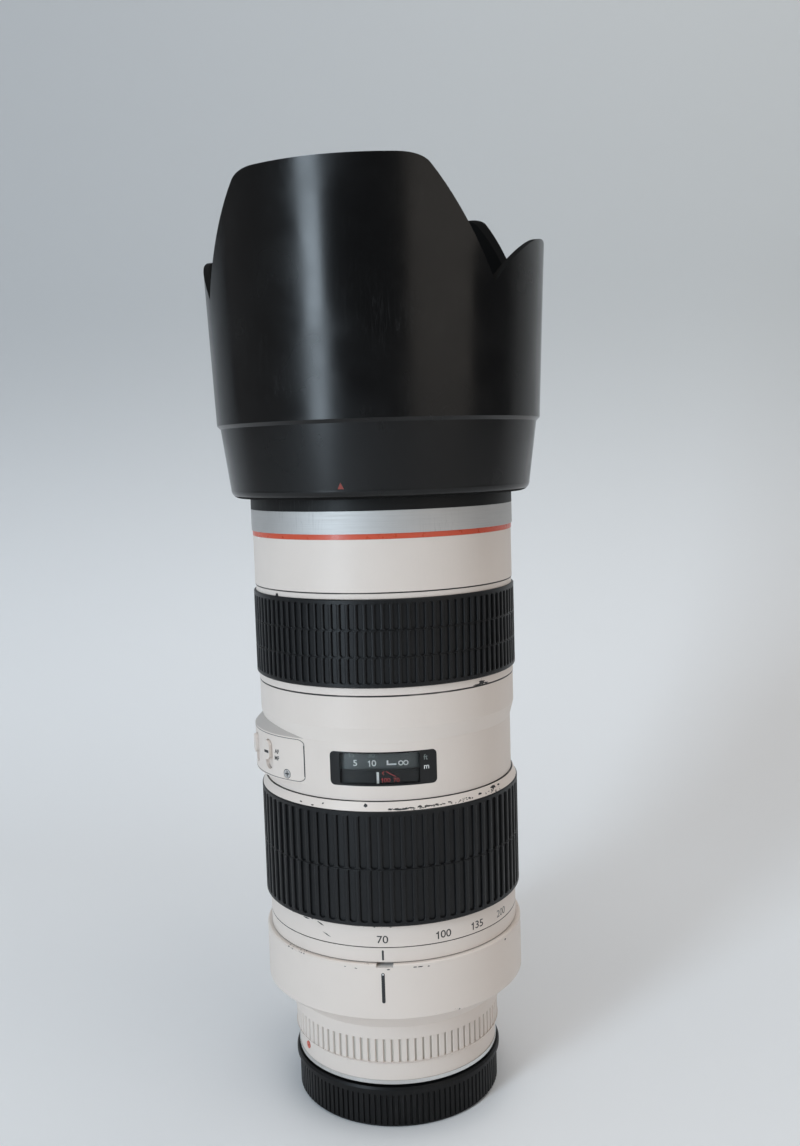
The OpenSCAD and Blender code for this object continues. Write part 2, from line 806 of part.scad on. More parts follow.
module rear_barrel() {
    color(cream) difference() {
        union() {
            rotate_extrude() polygon([
                [rear_floor_in, z_rear], [rear_band_r, z_rear], [rear_band_r, z_step], [rear_ledge_r, z_ribs],
                [rear_core_r, z_ribs], [rear_core_r, z_top_band],
                [rear_top_r, z_top_band], [rear_top_r, z_cone], [collar_seat_r, z_collar], [collar_seat_r, z_index],
                [main_r, z_index], [main_r, z_main], [rear_in, z_main], [rear_in, z_rear + rear_floor_t],
                [rear_floor_in, z_rear + rear_floor_t]
            ]);
            difference() {
                translate([0, 0, z_ribs]) linear_extrude(rear_rib_h)
                    polygon(ribbed(rear_rib_count, rear_rib_r, rear_rib_r - rear_rib_depth, rear_rib_land, grip_flank));
                translate([0, 0, z_ribs - cut]) cylinder(r = rear_in + cut, h = rear_rib_h + 2 * cut);
            }
        }
        flange_screw_places() flange_screw(inlay_gap);
        radial_pin(dot_deg, z_step - dot_drop, rear_band_r - dot_sunk, rear_band_r + cut, 2 * (dot_r + inlay_gap));
    }
}

module at_clamp() {
    rotate([0, 0, clamp_deg]) translate([0, clamp_y, clamp_z]) rotate([0, 90, 0]) children();
}

module tripod_collar() {
    color(cream) difference() {
        union() {
            rotate_extrude() polygon([
                [collar_bore, z_collar], [collar_r - collar_bevel, z_collar], [collar_r, z_collar + collar_bevel],
                [collar_r, z_collar + collar_h - collar_top_bevel],
                [collar_r - collar_top_bevel, z_collar + collar_h], [collar_bore, z_collar + collar_h]
            ]);
            rotate([0, 0, clamp_deg]) translate([-ear_x, clamp_y, clamp_z - ear_h / 2])
                cube([2 * ear_x, knob_r + knob_air + ear_sunk, ear_h]);
            at_clamp() translate([0, 0, -ear_x]) cylinder(d = ear_h, h = 2 * ear_x);
            translate([-neck_w / 2, 0, 0]) rotate([90, 0, 90]) linear_extrude(neck_w) polygon([
                [collar_r - ear_sunk, z_collar + neck_low],
                [foot_reach - foot_t, z_collar],
                [foot_reach - foot_t, z_collar + collar_h + neck_flare],
                [collar_r + ear_sunk, z_collar + collar_h - neck_top_drop],
                [collar_r - ear_sunk, z_collar + collar_h - neck_top_drop]
            ]);
            translate([-foot_w / 2, foot_reach, foot_z]) rotate([90, 0, 0]) linear_extrude(foot_t)
                rounded_rect(foot_w, foot_len, foot_corner);
        }
        translate([0, 0, z_collar - cut]) cylinder(r = collar_bore, h = collar_h + 2 * cut);
        rotate([0, 0, clamp_deg]) translate([-clamp_slit / 2, clamp_y - ear_h, z_collar - cut])
            cube([clamp_slit, collar_wall + ear_h - clamp_y - collar_r + cut, collar_h + 2 * cut]);
        at_clamp() translate([0, 0, -ear_x - cut]) cylinder(r = clamp_screw_r + run_gap, h = 2 * (ear_x + cut));
        rotate([0, 0, notch_deg]) translate([-collar_notch_w / 2, -collar_r - cut, z_collar + collar_h - collar_notch_h])
            cube([collar_notch_w, collar_wall + 2 * cut, collar_notch_h + cut]);
        translate([0, foot_reach + cut, foot_mid_z]) rotate([90, 0, 0])
            cylinder(r = tripod_r + insert_wall + inlay_gap, h = insert_len + cut);
    }
}

module tripod_insert() {
    color(metal) translate([0, foot_reach, foot_mid_z]) rotate([90, 0, 0]) difference() {
        cylinder(r = tripod_r + insert_wall, h = insert_len);
        translate([0, 0, -cut]) cylinder(r = tripod_r, h = insert_len + 2 * cut);
    }
}

module clamp_screw() {
    color(metal) at_clamp() translate([0, 0, -ear_x - knob_gap]) cylinder(r = clamp_screw_r, h = 2 * ear_x + knob_gap);
}

module collar_knob() {
    color(black) at_clamp() translate([0, 0, -ear_x - knob_gap - knob_len]) linear_extrude(knob_len)
        polygon(ribbed(knob_flutes, knob_r, knob_r - knob_flute_depth, knob_flute_land, grip_flank));
}

// Straight grooves that keep the lens cells from turning
module guide_grooves(z_low, z_high) {
    for (i = [0 : follower_count - 1])
        rotate([0, 0, i * 360 / follower_count])
            translate([-slot_w / 2, -(main_in + groove_depth), z_low])
                cube([slot_w, groove_depth + cut, z_high - z_low]);
}

module main_tube() {
    key_half = key_d / 2 + free_gap;
    zoom_play = asin(key_half / main_in);
    color([0.2, 0.2, 0.21]) difference() {
        ring(main_in, main_r, z_main, z_main_top);
        guide_grooves(z_compensator - slot_reach, z_variator + slot_reach);
        guide_grooves(z_focus_pin - focus_rest - slot_reach, z_focus_pin + focus_travel - focus_rest + slot_reach);
        arc_ring(zoom_key_deg - zoom_deg - zoom_play, zoom_key_deg + zoom_play, main_in - cut, main_r + cut,
            z_zoom_cam + zoom_key_up - key_half, z_zoom_cam + zoom_key_up + key_half);
        arc_ring(focus_key_deg - scale_far_deg - zoom_play, focus_key_deg + scale_near_deg + zoom_play,
            main_in - cut, main_r + cut,
            z_cam_split + focus_key_up - key_half, z_cam_split + focus_key_up + key_half);
    }
}

module index_ring() {
    color(cream) ring(main_r, index_r, z_index, z_zoom - ring_gap);
}

module window_outline(gap) {
    left = centre_r * sin(window_left_deg) + gap;
    right = centre_r * sin(window_right_deg) - gap;
    translate([left, z_window + gap]) rounded_rect(right - left, window_h - 2 * gap, window_corner);
}

// The barrel's bulge under the switch panel, with a sloping shoulder above it
module panel_bulge() {
    z_low = z_panel - panel_rim;
    flat_h = panel_h + 2 * panel_rim;
    half_deg = panel_half_deg + panel_over_deg;
    intersection() {
        rotate([0, 0, panel_deg]) translate([0, -panel_shift, z_low]) {
            cylinder(r = panel_curve_r, h = flat_h);
            translate([0, 0, flat_h])
                cylinder(r1 = panel_curve_r, r2 = panel_curve_r - panel_proud - panel_sunk, h = panel_slope_h);
        }
        arc_ring(panel_deg - half_deg, panel_deg + half_deg, centre_r - bulge_root, panel_mid_r + cut,
            z_low, z_low + flat_h + panel_slope_h);
    }
}

// The curved switch panel, or its seat in the barrel
module panel_plate(gap, depth, above) {
    half_w = centre_r * sin(panel_half_deg) + gap;
    intersection() {
        rotate([0, 0, panel_deg]) translate([0, -panel_shift, 0])
            ring(panel_curve_r - depth, panel_curve_r + above, z_panel - gap - cut, z_panel + panel_h + gap + cut);
        radial_prism(panel_deg, centre_r * cos(panel_half_deg) - panel_proud, panel_mid_r + 2 * cut)
            translate([-half_w, z_panel - gap]) rounded_rect(2 * half_w, panel_h + 2 * gap, panel_corner + gap);
    }
}

module switch_pockets() {
    for (i = [0, 1])
        switch_places(i) translate([0, 0, -switch_recess]) linear_extrude(switch_recess + panel_proud)
            stadium(switch_w + 2 * free_gap, switch_len + switch_travel + 2 * free_gap);
}

// Carry children to the switch panel's face, at an angle about the panel's own axis
module on_panel(deg, up) {
    rotate([0, 0, panel_deg]) translate([0, -panel_shift, z_panel + up]) rotate([0, 0, deg])
        translate([0, -panel_curve_r, 0]) rotate([90, 0, 0]) children();
}

module panel_screw_places() {
    for (side = [-1, 1]) on_panel(side * panel_screw_deg, panel_screw_up) rotate([180, 0, 0]) children();
}

module panel_screw(head_gap, gap) {
    translate([0, 0, -head_gap]) cylinder(r = panel_screw_r + head_gap, h = panel_head_t + head_gap);
    cylinder(r = panel_shank_r + gap, h = panel_shank_len);
}

module centre_barrel() {
    color(cream) difference() {
        union() {
            rotate_extrude() polygon([
                [main_r, z_centre], [centre_r, z_centre], [centre_r, z_centre + widen_up],
                [centre_top_r, z_centre + widen_up + widen_h], [centre_top_r, z_centre_top], [main_r, z_centre_top],
                [main_r, z_centre_top - flange_lip], [centre_in, z_centre_top - flange_lip],
                [centre_in, z_centre + flange_lip], [main_r, z_centre + flange_lip]
            ]);
            panel_bulge();
        }
        radial_prism(0, main_r, centre_r + cut) window_outline(0);
        panel_plate(panel_gap, panel_t + inlay_gap, cut);
        panel_screw_places() panel_screw(panel_head_gap, inlay_gap);
        switch_pockets();
    }
}

module window_cover() {
    color([0.5, 0.55, 0.58, 0.35]) intersection() {
        radial_prism(0, main_r, centre_r + cut) window_outline(inlay_gap);
        ring(centre_r - cover_sunk - cover_t, centre_r - cover_sunk, z_window, z_window + window_h);
    }
}

module window_index_plate() {
    margin_deg = plate_margin / centre_in * 180 / PI;
    color(black) arc_ring(window_left_deg - margin_deg, window_right_deg + margin_deg, centre_in - plate_t,
        centre_in - inlay_gap, z_window - plate_margin, z_window + window_plate_h);
}

module switch_places(index) {
    on_panel(switch_first_deg - index * switch_step_deg, switch_mid_up) children();
}

module stadium(w, h) {
    translate([-w / 2, -h / 2]) rounded_rect(w, h, w / 2 - inlay_gap);
}

module switch_panel() {
    color(cream) difference() {
        panel_plate(0, panel_t, 0);
        panel_screw_places() panel_screw(panel_head_gap, inlay_gap);
        switch_pockets();
    }
}

module panel_screws() {
    color(metal) panel_screw_places() difference() {
        panel_screw(0, 0);
        for (turn = [0, 90])
            rotate([0, 0, turn]) translate([-screw_cross_len / 2, -screw_cross_w / 2, -cut])
                cube([screw_cross_len, screw_cross_w, screw_cross_t + cut]);
    }
}

// A switch at the upper end of its slot
module slide_switch(index) {
    switch_places(index) translate([0, switch_travel / 2, free_gap - switch_recess])
        linear_extrude(switch_recess + switch_proud - free_gap) stadium(switch_w, switch_len);
}

module focus_mode_switch() {
    color(cream) slide_switch(0);
}

module range_switch() {
    color(cream) slide_switch(1);
}

module front_barrel() {
    color(cream) rotate_extrude() polygon([
        [main_r, z_front], [front_r, z_front], [front_r, z_red], [skirt_r, z_red], [skirt_r, z_red - flange_lip],
        [front_r - front_wall, z_red - flange_lip], [front_r - front_wall, z_front + flange_lip],
        [main_r, z_front + flange_lip]
    ]);
}

module red_ring() {
    color(red) ring(skirt_r, red_r, z_red, z_band);
}

module name_band() {
    color(metal) ring(skirt_r, band_r, z_band, z_rim);
}

module filter_ring() {
    z_groove = z_hood + groove_low;
    color(black) difference() {
        rotate_extrude() polygon([
            [main_r, z_front + skirt_up], [skirt_r, z_front + skirt_up], [skirt_r, z_rim], [band_r, z_rim],
            [band_r, z_groove], [groove_r, z_groove], [groove_r, z_groove + groove_h], [band_r, z_groove + groove_h],
            [band_r, z_front_top], [filter_r, z_front_top], [filter_r, z_front_top - filter_h],
            [element_seat_r, z_front_top - filter_h], [element_seat_r, z_rim + element_up],
            [element_ledge_r, z_rim + element_up], [element_ledge_r, z_main_top], [main_r, z_main_top]
        ]);
        bayonet_arcs(tab_count, tab_deg + lug_play_deg, hood_deg + twist_deg, groove_r + inlay_gap, band_r + cut,
            z_groove + groove_h / 2, z_front_top + cut);
    }
}

module retaining_ring() {
    z_low = z_rim + element_up + glass_edge + retainer_up;
    color(black) ring(element_seat_r - retainer_w, element_seat_r - inlay_gap, z_low, z_low + retainer_t);
}

module front_element() {
    color(glass) flat_back_lens(element_seat_r - inlay_gap, z_rim + element_up, glass_edge, element_front);
}

module zoom_sleeve() {
    color(cream) difference() {
        rotate_extrude() polygon([
            [sleeve_bore, z_zoom], [index_r, z_zoom], [index_r, z_zoom_grip], [zoom_seat_r, z_zoom_grip],
            [zoom_seat_r, z_zoom_lip], [zoom_lip_r, z_zoom_lip], [zoom_lip_top_r, z_zoom_top],
            [sleeve_bore, z_zoom_top]
        ]);
        radial_pin(zoom_key_deg, z_zoom_cam + zoom_key_up, cam_in, zoom_grip_r, key_d + 2 * inlay_gap);
    }
}

module zoom_grip() {
    color(rubber) grip(zoom_grip_r, zoom_seat_r, z_zoom_grip, zoom_grip_h, zoom_rib_count, zoom_rows);
}

module zoom_cam_tube() {
    color(metal) difference() {
        ring(cam_in, cam_r, z_zoom_cam, z_cam_split - cam_split_gap);
        cam_slots(z_variator - variator_travel, z_variator, zoom_deg, 0);
        cam_slots(z_compensator, z_compensator + compensator_travel, 0, zoom_deg);
        radial_pin(zoom_key_deg, z_zoom_cam + zoom_key_up, cam_in - cut, main_r, key_d + 2 * inlay_gap);
    }
}

module zoom_key() {
    color(metal) radial_pin(zoom_key_deg, z_zoom_cam + zoom_key_up, cam_in + key_sunk, zoom_seat_r - key_sunk, key_d);
}

module variator_cell() {
    color(black) lens_cell(z_variator - pin_edge, z_variator, variator_glass_r);
}

module variator_glass() {
    color(glass) concave_lens(variator_glass_r, z_variator - pin_edge + cell_ledge_t, dish + dish_mid_t, dish);
}

module compensator_cell() {
    color(black) lens_cell(z_compensator + pin_edge - cell_h, z_compensator, compensator_glass_r);
}

module compensator_glass() {
    color(glass) flat_back_lens(compensator_glass_r, z_compensator + pin_edge - cell_h + cell_ledge_t, glass_edge, bulge);
}

module focus_sleeve() {
    color(cream) rotate_extrude() polygon([
        [sleeve_bore, z_focus], [focus_band_r, z_focus], [focus_band_r, z_focus_grip], [focus_seat_r, z_focus_grip],
        [focus_seat_r, z_focus_lip], [focus_band_r, z_focus_lip], [focus_band_r, z_focus_top], [sleeve_bore, z_focus_top]
    ]);
}

module focus_grip() {
    color(rubber) grip(focus_grip_r, focus_seat_r, z_focus_grip, focus_grip_h, focus_rib_count, focus_rows);
}

module scale_drum() {
    z_bearing = z_cam_split + focus_key_up - key_d;
    color(black) difference() {
        rotate_extrude() polygon([
            [drum_r - drum_t, z_centre + drum_low], [drum_r, z_centre + drum_low], [drum_r, z_rotor],
            [sleeve_bore, z_rotor], [sleeve_bore, z_bearing], [drum_r - drum_t, z_bearing]
        ]);
        radial_pin(focus_key_deg, z_cam_split + focus_key_up, main_in, centre_r, key_d + 2 * inlay_gap);
    }
}

module motor_rotor() {
    color(metal) ring(sleeve_bore, motor_out_r, z_rotor, z_rotor + rotor_h);
}

module motor_stator() {
    color(brass_tone) ring(main_r, motor_out_r, z_stator, z_stator + stator_h);
}

module focus_key() {
    color(metal) radial_pin(focus_key_deg, z_cam_split + focus_key_up, cam_in + key_sunk, drum_r - key_sunk, key_d);
}

module focus_cam_tube() {
    z_low = z_focus_pin - focus_rest;
    color(metal) difference() {
        ring(cam_in, cam_r, z_cam_split + cam_split_gap, z_focus_cam_top);
        cam_slots(z_low, z_low + focus_travel, scale_far_deg, -scale_near_deg);
        radial_pin(focus_key_deg, z_cam_split + focus_key_up, cam_in - cut, main_r, key_d + 2 * inlay_gap);
    }
}

module focus_cell() {
    color(black) lens_cell(z_focus_pin - cell_h / 2, z_focus_pin, focus_glass_r);
}

module focus_glass() {
    color(glass) flat_back_lens(focus_glass_r, z_focus_pin - cell_h / 2 + cell_ledge_t, glass_edge, bulge);
}

module rear_cell() {
    z_low = z_collar - rear_cell_drop;
    seat = rear_cell_r - rear_cell_wall;
    color(black) {
        ring(seat, rear_cell_r, z_low, z_low + rear_cell_h);
        ring(rear_cell_r - inlay_gap, main_in - inlay_gap, z_low + rear_cell_flange_up,
            z_low + rear_cell_flange_up + rear_cell_flange_t);
    }
}

module rear_glass() {
    z_low = z_collar - rear_cell_drop;
    seat = rear_cell_r - rear_cell_wall - inlay_gap;
    color(glass) {
        convex_lens(seat, z_low + bulge, glass_edge, bulge, bulge);
        convex_lens(seat, z_low + rear_cell_h - bulge - glass_edge, glass_edge, bulge, bulge);
    }
}

module iris_places(r) {
    for (i = [0 : iris_count - 1])
        rotate([0, 0, i * 360 / iris_count]) translate([0, -r, 0]) children();
}

module iris_base() {
    color(black) {
        ring(iris_r, main_in - inlay_gap, z_iris, z_iris + iris_base_t);
        iris_places(blade_pivot_r) translate([0, 0, z_iris])
            cylinder(r = pivot_r, h = z_iris_ring - free_gap - z_iris);
    }
}

module iris_ring() {
    slot = 2 * (drive_r + drive_play);
    color(metal) difference() {
        ring(iris_r, main_in - run_gap, z_iris_ring, z_iris_ring + iris_ring_t);
        iris_places(blade_pivot_r + blade_arm)
            translate([-slot / 2, -drive_slot_reach, z_iris_ring - cut])
                cube([slot, 2 * drive_slot_reach + blade_lobe_r, iris_ring_t + 2 * cut]);
    }
}

module iris_cover() {
    color(black) ring(iris_r, main_in - inlay_gap, z_iris_cover, z_iris_top);
}

module iris_motor() {
    color(metal) rotate([0, 0, iris_motor_deg])
        translate([0, -(rear_cell_r + main_in) / 2, z_iris - iris_motor_h])
            cylinder(r = iris_motor_r, h = iris_motor_h);
}

module iris_blade(index) {
    z_low = z_blades + index * blade_step;
    color([0.16, 0.16, 0.17]) rotate([0, 0, index * 360 / iris_count]) difference() {
        union() {
            arc_ring(0, blade_deg, iris_r, iris_r + blade_w, z_low, z_low + blade_t);
            translate([-blade_lobe_r, -(blade_pivot_r + blade_arm), z_low])
                cube([2 * blade_lobe_r, blade_pivot_r + blade_arm - iris_r - blade_w / 2, blade_t]);
            translate([0, -(blade_pivot_r + blade_arm), z_low]) cylinder(r = blade_lobe_r, h = blade_t);
            translate([0, -(blade_pivot_r + blade_arm), z_low])
                cylinder(r = drive_r, h = z_iris_ring + iris_ring_t - z_low);
        }
        translate([0, -blade_pivot_r, z_low - cut]) cylinder(r = pivot_r + pivot_gap, h = blade_t + 2 * cut);
    }
}

// Rounded corner of a long petal, from its flank to its top
function petal_corner() = [
    for (i = [0 : round_steps])
        let (deg = petal_turn * (1 - i / round_steps))
        [petal_half_w + petal_tangent - petal_corner_r * sin(deg), z_hood_top - petal_corner_r * (1 - cos(deg))]
];

// Cut that shapes the hood's mouth into two long and two short petals
module petal_cut() {
    top = [petal_half_w + petal_tangent, z_hood_top + cut];
    side = concat([[notch_half_w, petal_z]], petal_corner(), [top]);
    other_side = [for (i = [len(side) - 1 : -1 : 0]) [-side[i][0], side[i][1]]];
    rotate([90, 0, 90]) linear_extrude(4 * hood_mouth_r, center = true) difference() {
        polygon(concat(side, other_side));
        translate([0, z_hood_top - short_petal_drop - short_petal_r]) circle(short_petal_r, $fn = 180);
    }
}

module lens_hood() {
    round_mid_r = hood_low_r - hood_round;
    color(black) rotate([0, 0, hood_deg]) {
        difference() {
            rotate_extrude() polygon(concat(
                [[hood_bore, z_hood]],
                [for (i = [0 : round_steps]) let (deg = 90 * i / round_steps)
                    [round_mid_r + hood_round * sin(deg), z_hood + hood_round * (1 - cos(deg))]],
                [
                    [hood_neck_r, z_hood_step], [hood_step_r, z_hood_step + hood_step_r - hood_neck_r],
                    [hood_mouth_r, z_hood_top], [hood_mouth_r - hood_wall, z_hood_top],
                    [hood_step_r - hood_wall, z_hood_step + hood_wall], [hood_neck_r - hood_wall, z_hood_step],
                    [hood_low_r - hood_wall, z_hood + hood_floor], [hood_bore, z_hood + hood_floor]
                ]
            ));
            petal_cut();
        }
        bayonet_arcs(tab_count, tab_deg, 0, band_r - tab_depth, hood_bore + hood_wall,
            z_hood + tab_up, z_hood + tab_up + tab_t);
    }
}

rear_cap();
mount_flange();
mount_screws();
contact_block();
contact_pins();
rear_baffle();
mount_index_dot();
circuit_board();
rear_barrel();
tripod_collar();
tripod_insert();
clamp_screw();
collar_knob();
main_tube();
index_ring();
centre_barrel();
front_barrel();
red_ring();
name_band();
filter_ring();
retaining_ring();
front_element();
zoom_sleeve();
zoom_grip();
zoom_cam_tube();
zoom_key();
variator_cell();
variator_glass();
compensator_cell();
compensator_glass();
focus_sleeve();
focus_grip();
scale_drum();
focus_key();
focus_cam_tube();
focus_cell();
focus_glass();
motor_rotor();
motor_stator();
window_cover();
window_index_plate();
switch_panel();
panel_screws();
focus_mode_switch();
range_switch();
rear_cell();
rear_glass();
iris_base();
iris_ring();
iris_cover();
iris_motor();
iris_blade(0);  // iris_blade_1
iris_blade(1);  // iris_blade_2
iris_blade(2);  // iris_blade_3
iris_blade(3);  // iris_blade_4
iris_blade(4);  // iris_blade_5
iris_blade(5);  // iris_blade_6
iris_blade(6);  // iris_blade_7
iris_blade(7);  // iris_blade_8
lens_hood();
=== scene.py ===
import math
import random

import bmesh
import bpy
from mathutils import Matrix, Vector


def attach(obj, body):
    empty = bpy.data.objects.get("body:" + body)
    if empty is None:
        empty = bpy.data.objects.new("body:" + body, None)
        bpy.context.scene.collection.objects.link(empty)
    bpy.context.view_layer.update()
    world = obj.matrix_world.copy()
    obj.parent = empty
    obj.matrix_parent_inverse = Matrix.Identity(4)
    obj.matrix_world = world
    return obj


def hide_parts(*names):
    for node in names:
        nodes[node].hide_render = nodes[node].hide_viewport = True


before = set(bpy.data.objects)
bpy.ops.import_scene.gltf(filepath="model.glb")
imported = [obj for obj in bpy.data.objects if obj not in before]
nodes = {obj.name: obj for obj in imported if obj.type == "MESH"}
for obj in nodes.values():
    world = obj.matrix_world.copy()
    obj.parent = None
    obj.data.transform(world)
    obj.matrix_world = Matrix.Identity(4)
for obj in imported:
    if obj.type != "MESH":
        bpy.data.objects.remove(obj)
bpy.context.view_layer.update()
scene = bpy.context.scene
scene.view_settings.view_transform = "Standard"

MM = 0.001

# Camera at the photograph's viewing angle
CAMERA_PLACE = Vector((35.3, -373.1, 211.4)) * MM
CAMERA_YAW = math.radians(0.824)
CAMERA_PITCH = math.radians(5.967)
CAMERA_ROLL = math.radians(-1.733)
OBJECT_TURN = math.radians(5.4)
CAMERA_LENS = 36.02
SENSOR_WIDTH = 36.0
CAMERA_NEAR = 0.01


def set_camera():
    forward = Vector((math.sin(CAMERA_YAW) * math.cos(CAMERA_PITCH),
                      math.cos(CAMERA_YAW) * math.cos(CAMERA_PITCH),
                      -math.sin(CAMERA_PITCH)))
    right = forward.cross(Vector((0, 0, 1))).normalized()
    up = right.cross(forward)
    tilted_right = right * math.cos(CAMERA_ROLL) + up * math.sin(CAMERA_ROLL)
    tilted_up = up * math.cos(CAMERA_ROLL) - right * math.sin(CAMERA_ROLL)
    axes = Matrix((tilted_right, tilted_up, -forward)).transposed()
    turned = Matrix.Rotation(OBJECT_TURN, 3, "Z") @ axes
    data = bpy.data.cameras.new("photo_camera")
    data.lens = CAMERA_LENS
    data.sensor_width = SENSOR_WIDTH
    data.clip_start = CAMERA_NEAR
    camera = bpy.data.objects.new("photo_camera", data)
    camera.matrix_world = Matrix.Translation(CAMERA_PLACE) @ turned.to_4x4()
    scene.collection.objects.link(camera)
    scene.camera = camera


set_camera()

# Sizes of the lens in millimetres, as in the part
CENTRE_R = 40.4
INDEX_R = 41.0
COLLAR_R = 42.5
DRUM_R = 38.3
PLATE_R = 39.15
ZOOM_GRIP_R = 42.3
FOCUS_GRIP_R = 42.4
ZOOM_LIP_R = 42.0
FOCUS_BAND_R = 41.7
GRIP_T = 2.0
GRIP_RIB_DEPTH = 0.7
PANEL_DEG = -75.0
PANEL_HALF_DEG = 40.2
PANEL_PROUD = 3.4
WINDOW_LEFT_DEG = -21.0
WINDOW_RIGHT_DEG = 26.0
Z_WINDOW = 112.5
WINDOW_H = 10.4
WINDOW_CORNER = 1.4
HOOD_DEG = -8.3
DECAL_T = 0.04


def ends_mm(name):
    """Lowest and highest point of a CAD node in millimetres."""
    heights = [corner[2] / MM for corner in nodes[name].bound_box]
    return round(min(heights), 2), round(max(heights), 2)


ZOOM_GRIP_LOW, ZOOM_GRIP_HIGH = ends_mm("zoom_grip")
FOCUS_GRIP_LOW, FOCUS_GRIP_HIGH = ends_mm("focus_grip")
Z_PANEL, PANEL_TOP = ends_mm("switch_panel")
PANEL_H = round(PANEL_TOP - Z_PANEL, 2)

# Colours and limits of the finishes
PAINT_DARK = (0.730, 0.646, 0.584, 1)
PAINT_LIGHT = (0.775, 0.690, 0.628, 1)
PAINT_SCUFF = (0.40, 0.385, 0.37, 1)
PAINT_DUST = (0.33, 0.30, 0.26, 1)
# Painted shade for ledges that face up, and painted light for surfaces that face down
PAINTED_LEDGE_SHADE = (0.24, 0.235, 0.23, 1)
PAINTED_UNDERSIDE_LIGHT = (0.88, 0.80, 0.73, 1)
UNDERSIDE_SHARE = 0.5
# Painted shade in grooves
GROOVE_SHADE = (0.54, 0.50, 0.45, 1)
# Painted shade in the seams between parts
SEAM_SHADOW = (0.022, 0.021, 0.020, 1)
CHIP_COLOUR = (0.03, 0.03, 0.032, 1)
PLASTIC_SCUFF = (0.16, 0.16, 0.165, 1)
DUST_COLOUR = (0.42, 0.40, 0.37, 1)
GLASS_DUST = (0.75, 0.74, 0.72, 1)
FLOCK_COLOUR = (0.004, 0.004, 0.004, 1)
FLOCK_ROUGH = 0.85
FLOCK_SPECULAR = 0.1
FLOCK_LIMIT = 0.03


# Shader trees

class Shade:
    """Short calls for the nodes of one shader tree."""

    def __init__(self, tree):
        self.tree = tree

    def add(self, kind, **settings):
        made = self.tree.nodes.new(kind)
        for key, value in settings.items():
            setattr(made, key, value)
        return made

    def feed(self, socket, value):
        if isinstance(value, bpy.types.NodeSocket):
            self.tree.links.new(value, socket)
        else:
            socket.default_value = value

    def fill(self, made, **values):
        """Feeds a node's inputs by name, with _ for a space."""
        for key, value in values.items():
            self.feed(made.inputs[key.replace("_", " ")], value)
        return made

    def coords(self):
        return self.add("ShaderNodeTexCoord").outputs["Object"]

    def surface_normal(self):
        return self.add("ShaderNodeTexCoord").outputs["Normal"]

    def mapped(self, vector, scale=(1, 1, 1), turn=(0, 0, 0)):
        made = self.add("ShaderNodeMapping")
        return self.fill(made, Vector=vector, Scale=scale, Rotation=turn).outputs["Vector"]

    def noise(self, vector, scale, detail=3.0, rough=0.5):
        made = self.add("ShaderNodeTexNoise")
        return self.fill(made, Vector=vector, Scale=scale, Detail=detail, Roughness=rough).outputs["Fac"]

    def specks(self, vector, scale):
        made = self.add("ShaderNodeTexVoronoi")
        return self.fill(made, Vector=vector, Scale=scale).outputs["Distance"]

    def calc(self, operation, first, second=0.0, clamp=False):
        made = self.add("ShaderNodeMath", operation=operation, use_clamp=clamp)
        self.feed(made.inputs[0], first)
        self.feed(made.inputs[1], second)
        return made.outputs[0]

    def span(self, value, low, high, to_low=0.0, to_high=1.0):
        made = self.add("ShaderNodeMapRange", interpolation_type="SMOOTHSTEP")
        self.fill(made, Value=value, From_Min=low, From_Max=high, To_Min=to_low, To_Max=to_high)
        return made.outputs["Result"]

    def blend(self, factor, first, second):
        made = self.add("ShaderNodeMix", data_type="RGBA")
        return self.fill(made, Factor=factor, A=first, B=second).outputs["Result"]

    def along(self, vector, axis):
        made = self.add("ShaderNodeSeparateXYZ")
        self.feed(made.inputs[0], vector)
        return made.outputs[axis]

    def facing_axis(self, place):
        """One where a surface doesn't look away from the lens's axis."""
        product = self.add("ShaderNodeVectorMath", operation="DOT_PRODUCT")
        self.feed(product.inputs[0], self.mapped(place, (1, 1, 0)))
        self.feed(product.inputs[1], self.surface_normal())
        return self.calc("LESS_THAN", product.outputs["Value"], FLOCK_LIMIT)

    def bump(self, height, strength, distance):
        made = self.add("ShaderNodeBump")
        return self.fill(made, Height=height, Strength=strength, Distance=distance).outputs["Normal"]

    def effect(self, group, **values):
        return self.fill(self.add("ShaderNodeGroup", node_tree=group), **values).outputs[0]


def effect_group(name, inputs, build):
    """A shader group with a Vector, named value inputs and one mask as output."""
    tree = bpy.data.node_groups.new(name, "ShaderNodeTree")
    tree.interface.new_socket("Vector", in_out="INPUT", socket_type="NodeSocketVector")
    for key in inputs:
        tree.interface.new_socket(key, in_out="INPUT", socket_type="NodeSocketFloat")
    tree.interface.new_socket("Mask", in_out="OUTPUT", socket_type="NodeSocketFloat")
    shade = Shade(tree)
    entry = shade.add("NodeGroupInput")
    leave = shade.add("NodeGroupOutput")
    tree.links.new(build(shade, entry.outputs), leave.inputs[0])
    return tree


def build_edge_chips(shade, given):
    """Flecks that gather near a low and a high edge."""
    z = shade.along(given["Vector"], "Z")
    to_low = shade.calc("ABSOLUTE", shade.calc("SUBTRACT", z, given["Low Edge"]))
    to_high = shade.calc("ABSOLUTE", shade.calc("SUBTRACT", z, given["High Edge"]))
    near = shade.span(shade.calc("MINIMUM", to_low, to_high), 0.0, given["Reach"], 1.0, 0.0)
    patches = shade.noise(given["Vector"], scale=60.0, rough=0.6)
    flakes = shade.noise(given["Vector"], scale=1400.0, detail=4.0, rough=0.65)
    drive = shade.calc("MULTIPLY", near, shade.span(patches, 0.50, 0.66))
    level = shade.calc("MULTIPLY", drive, given["Amount"])
    return shade.span(shade.calc("ADD", flakes, level), 0.78, 0.82)


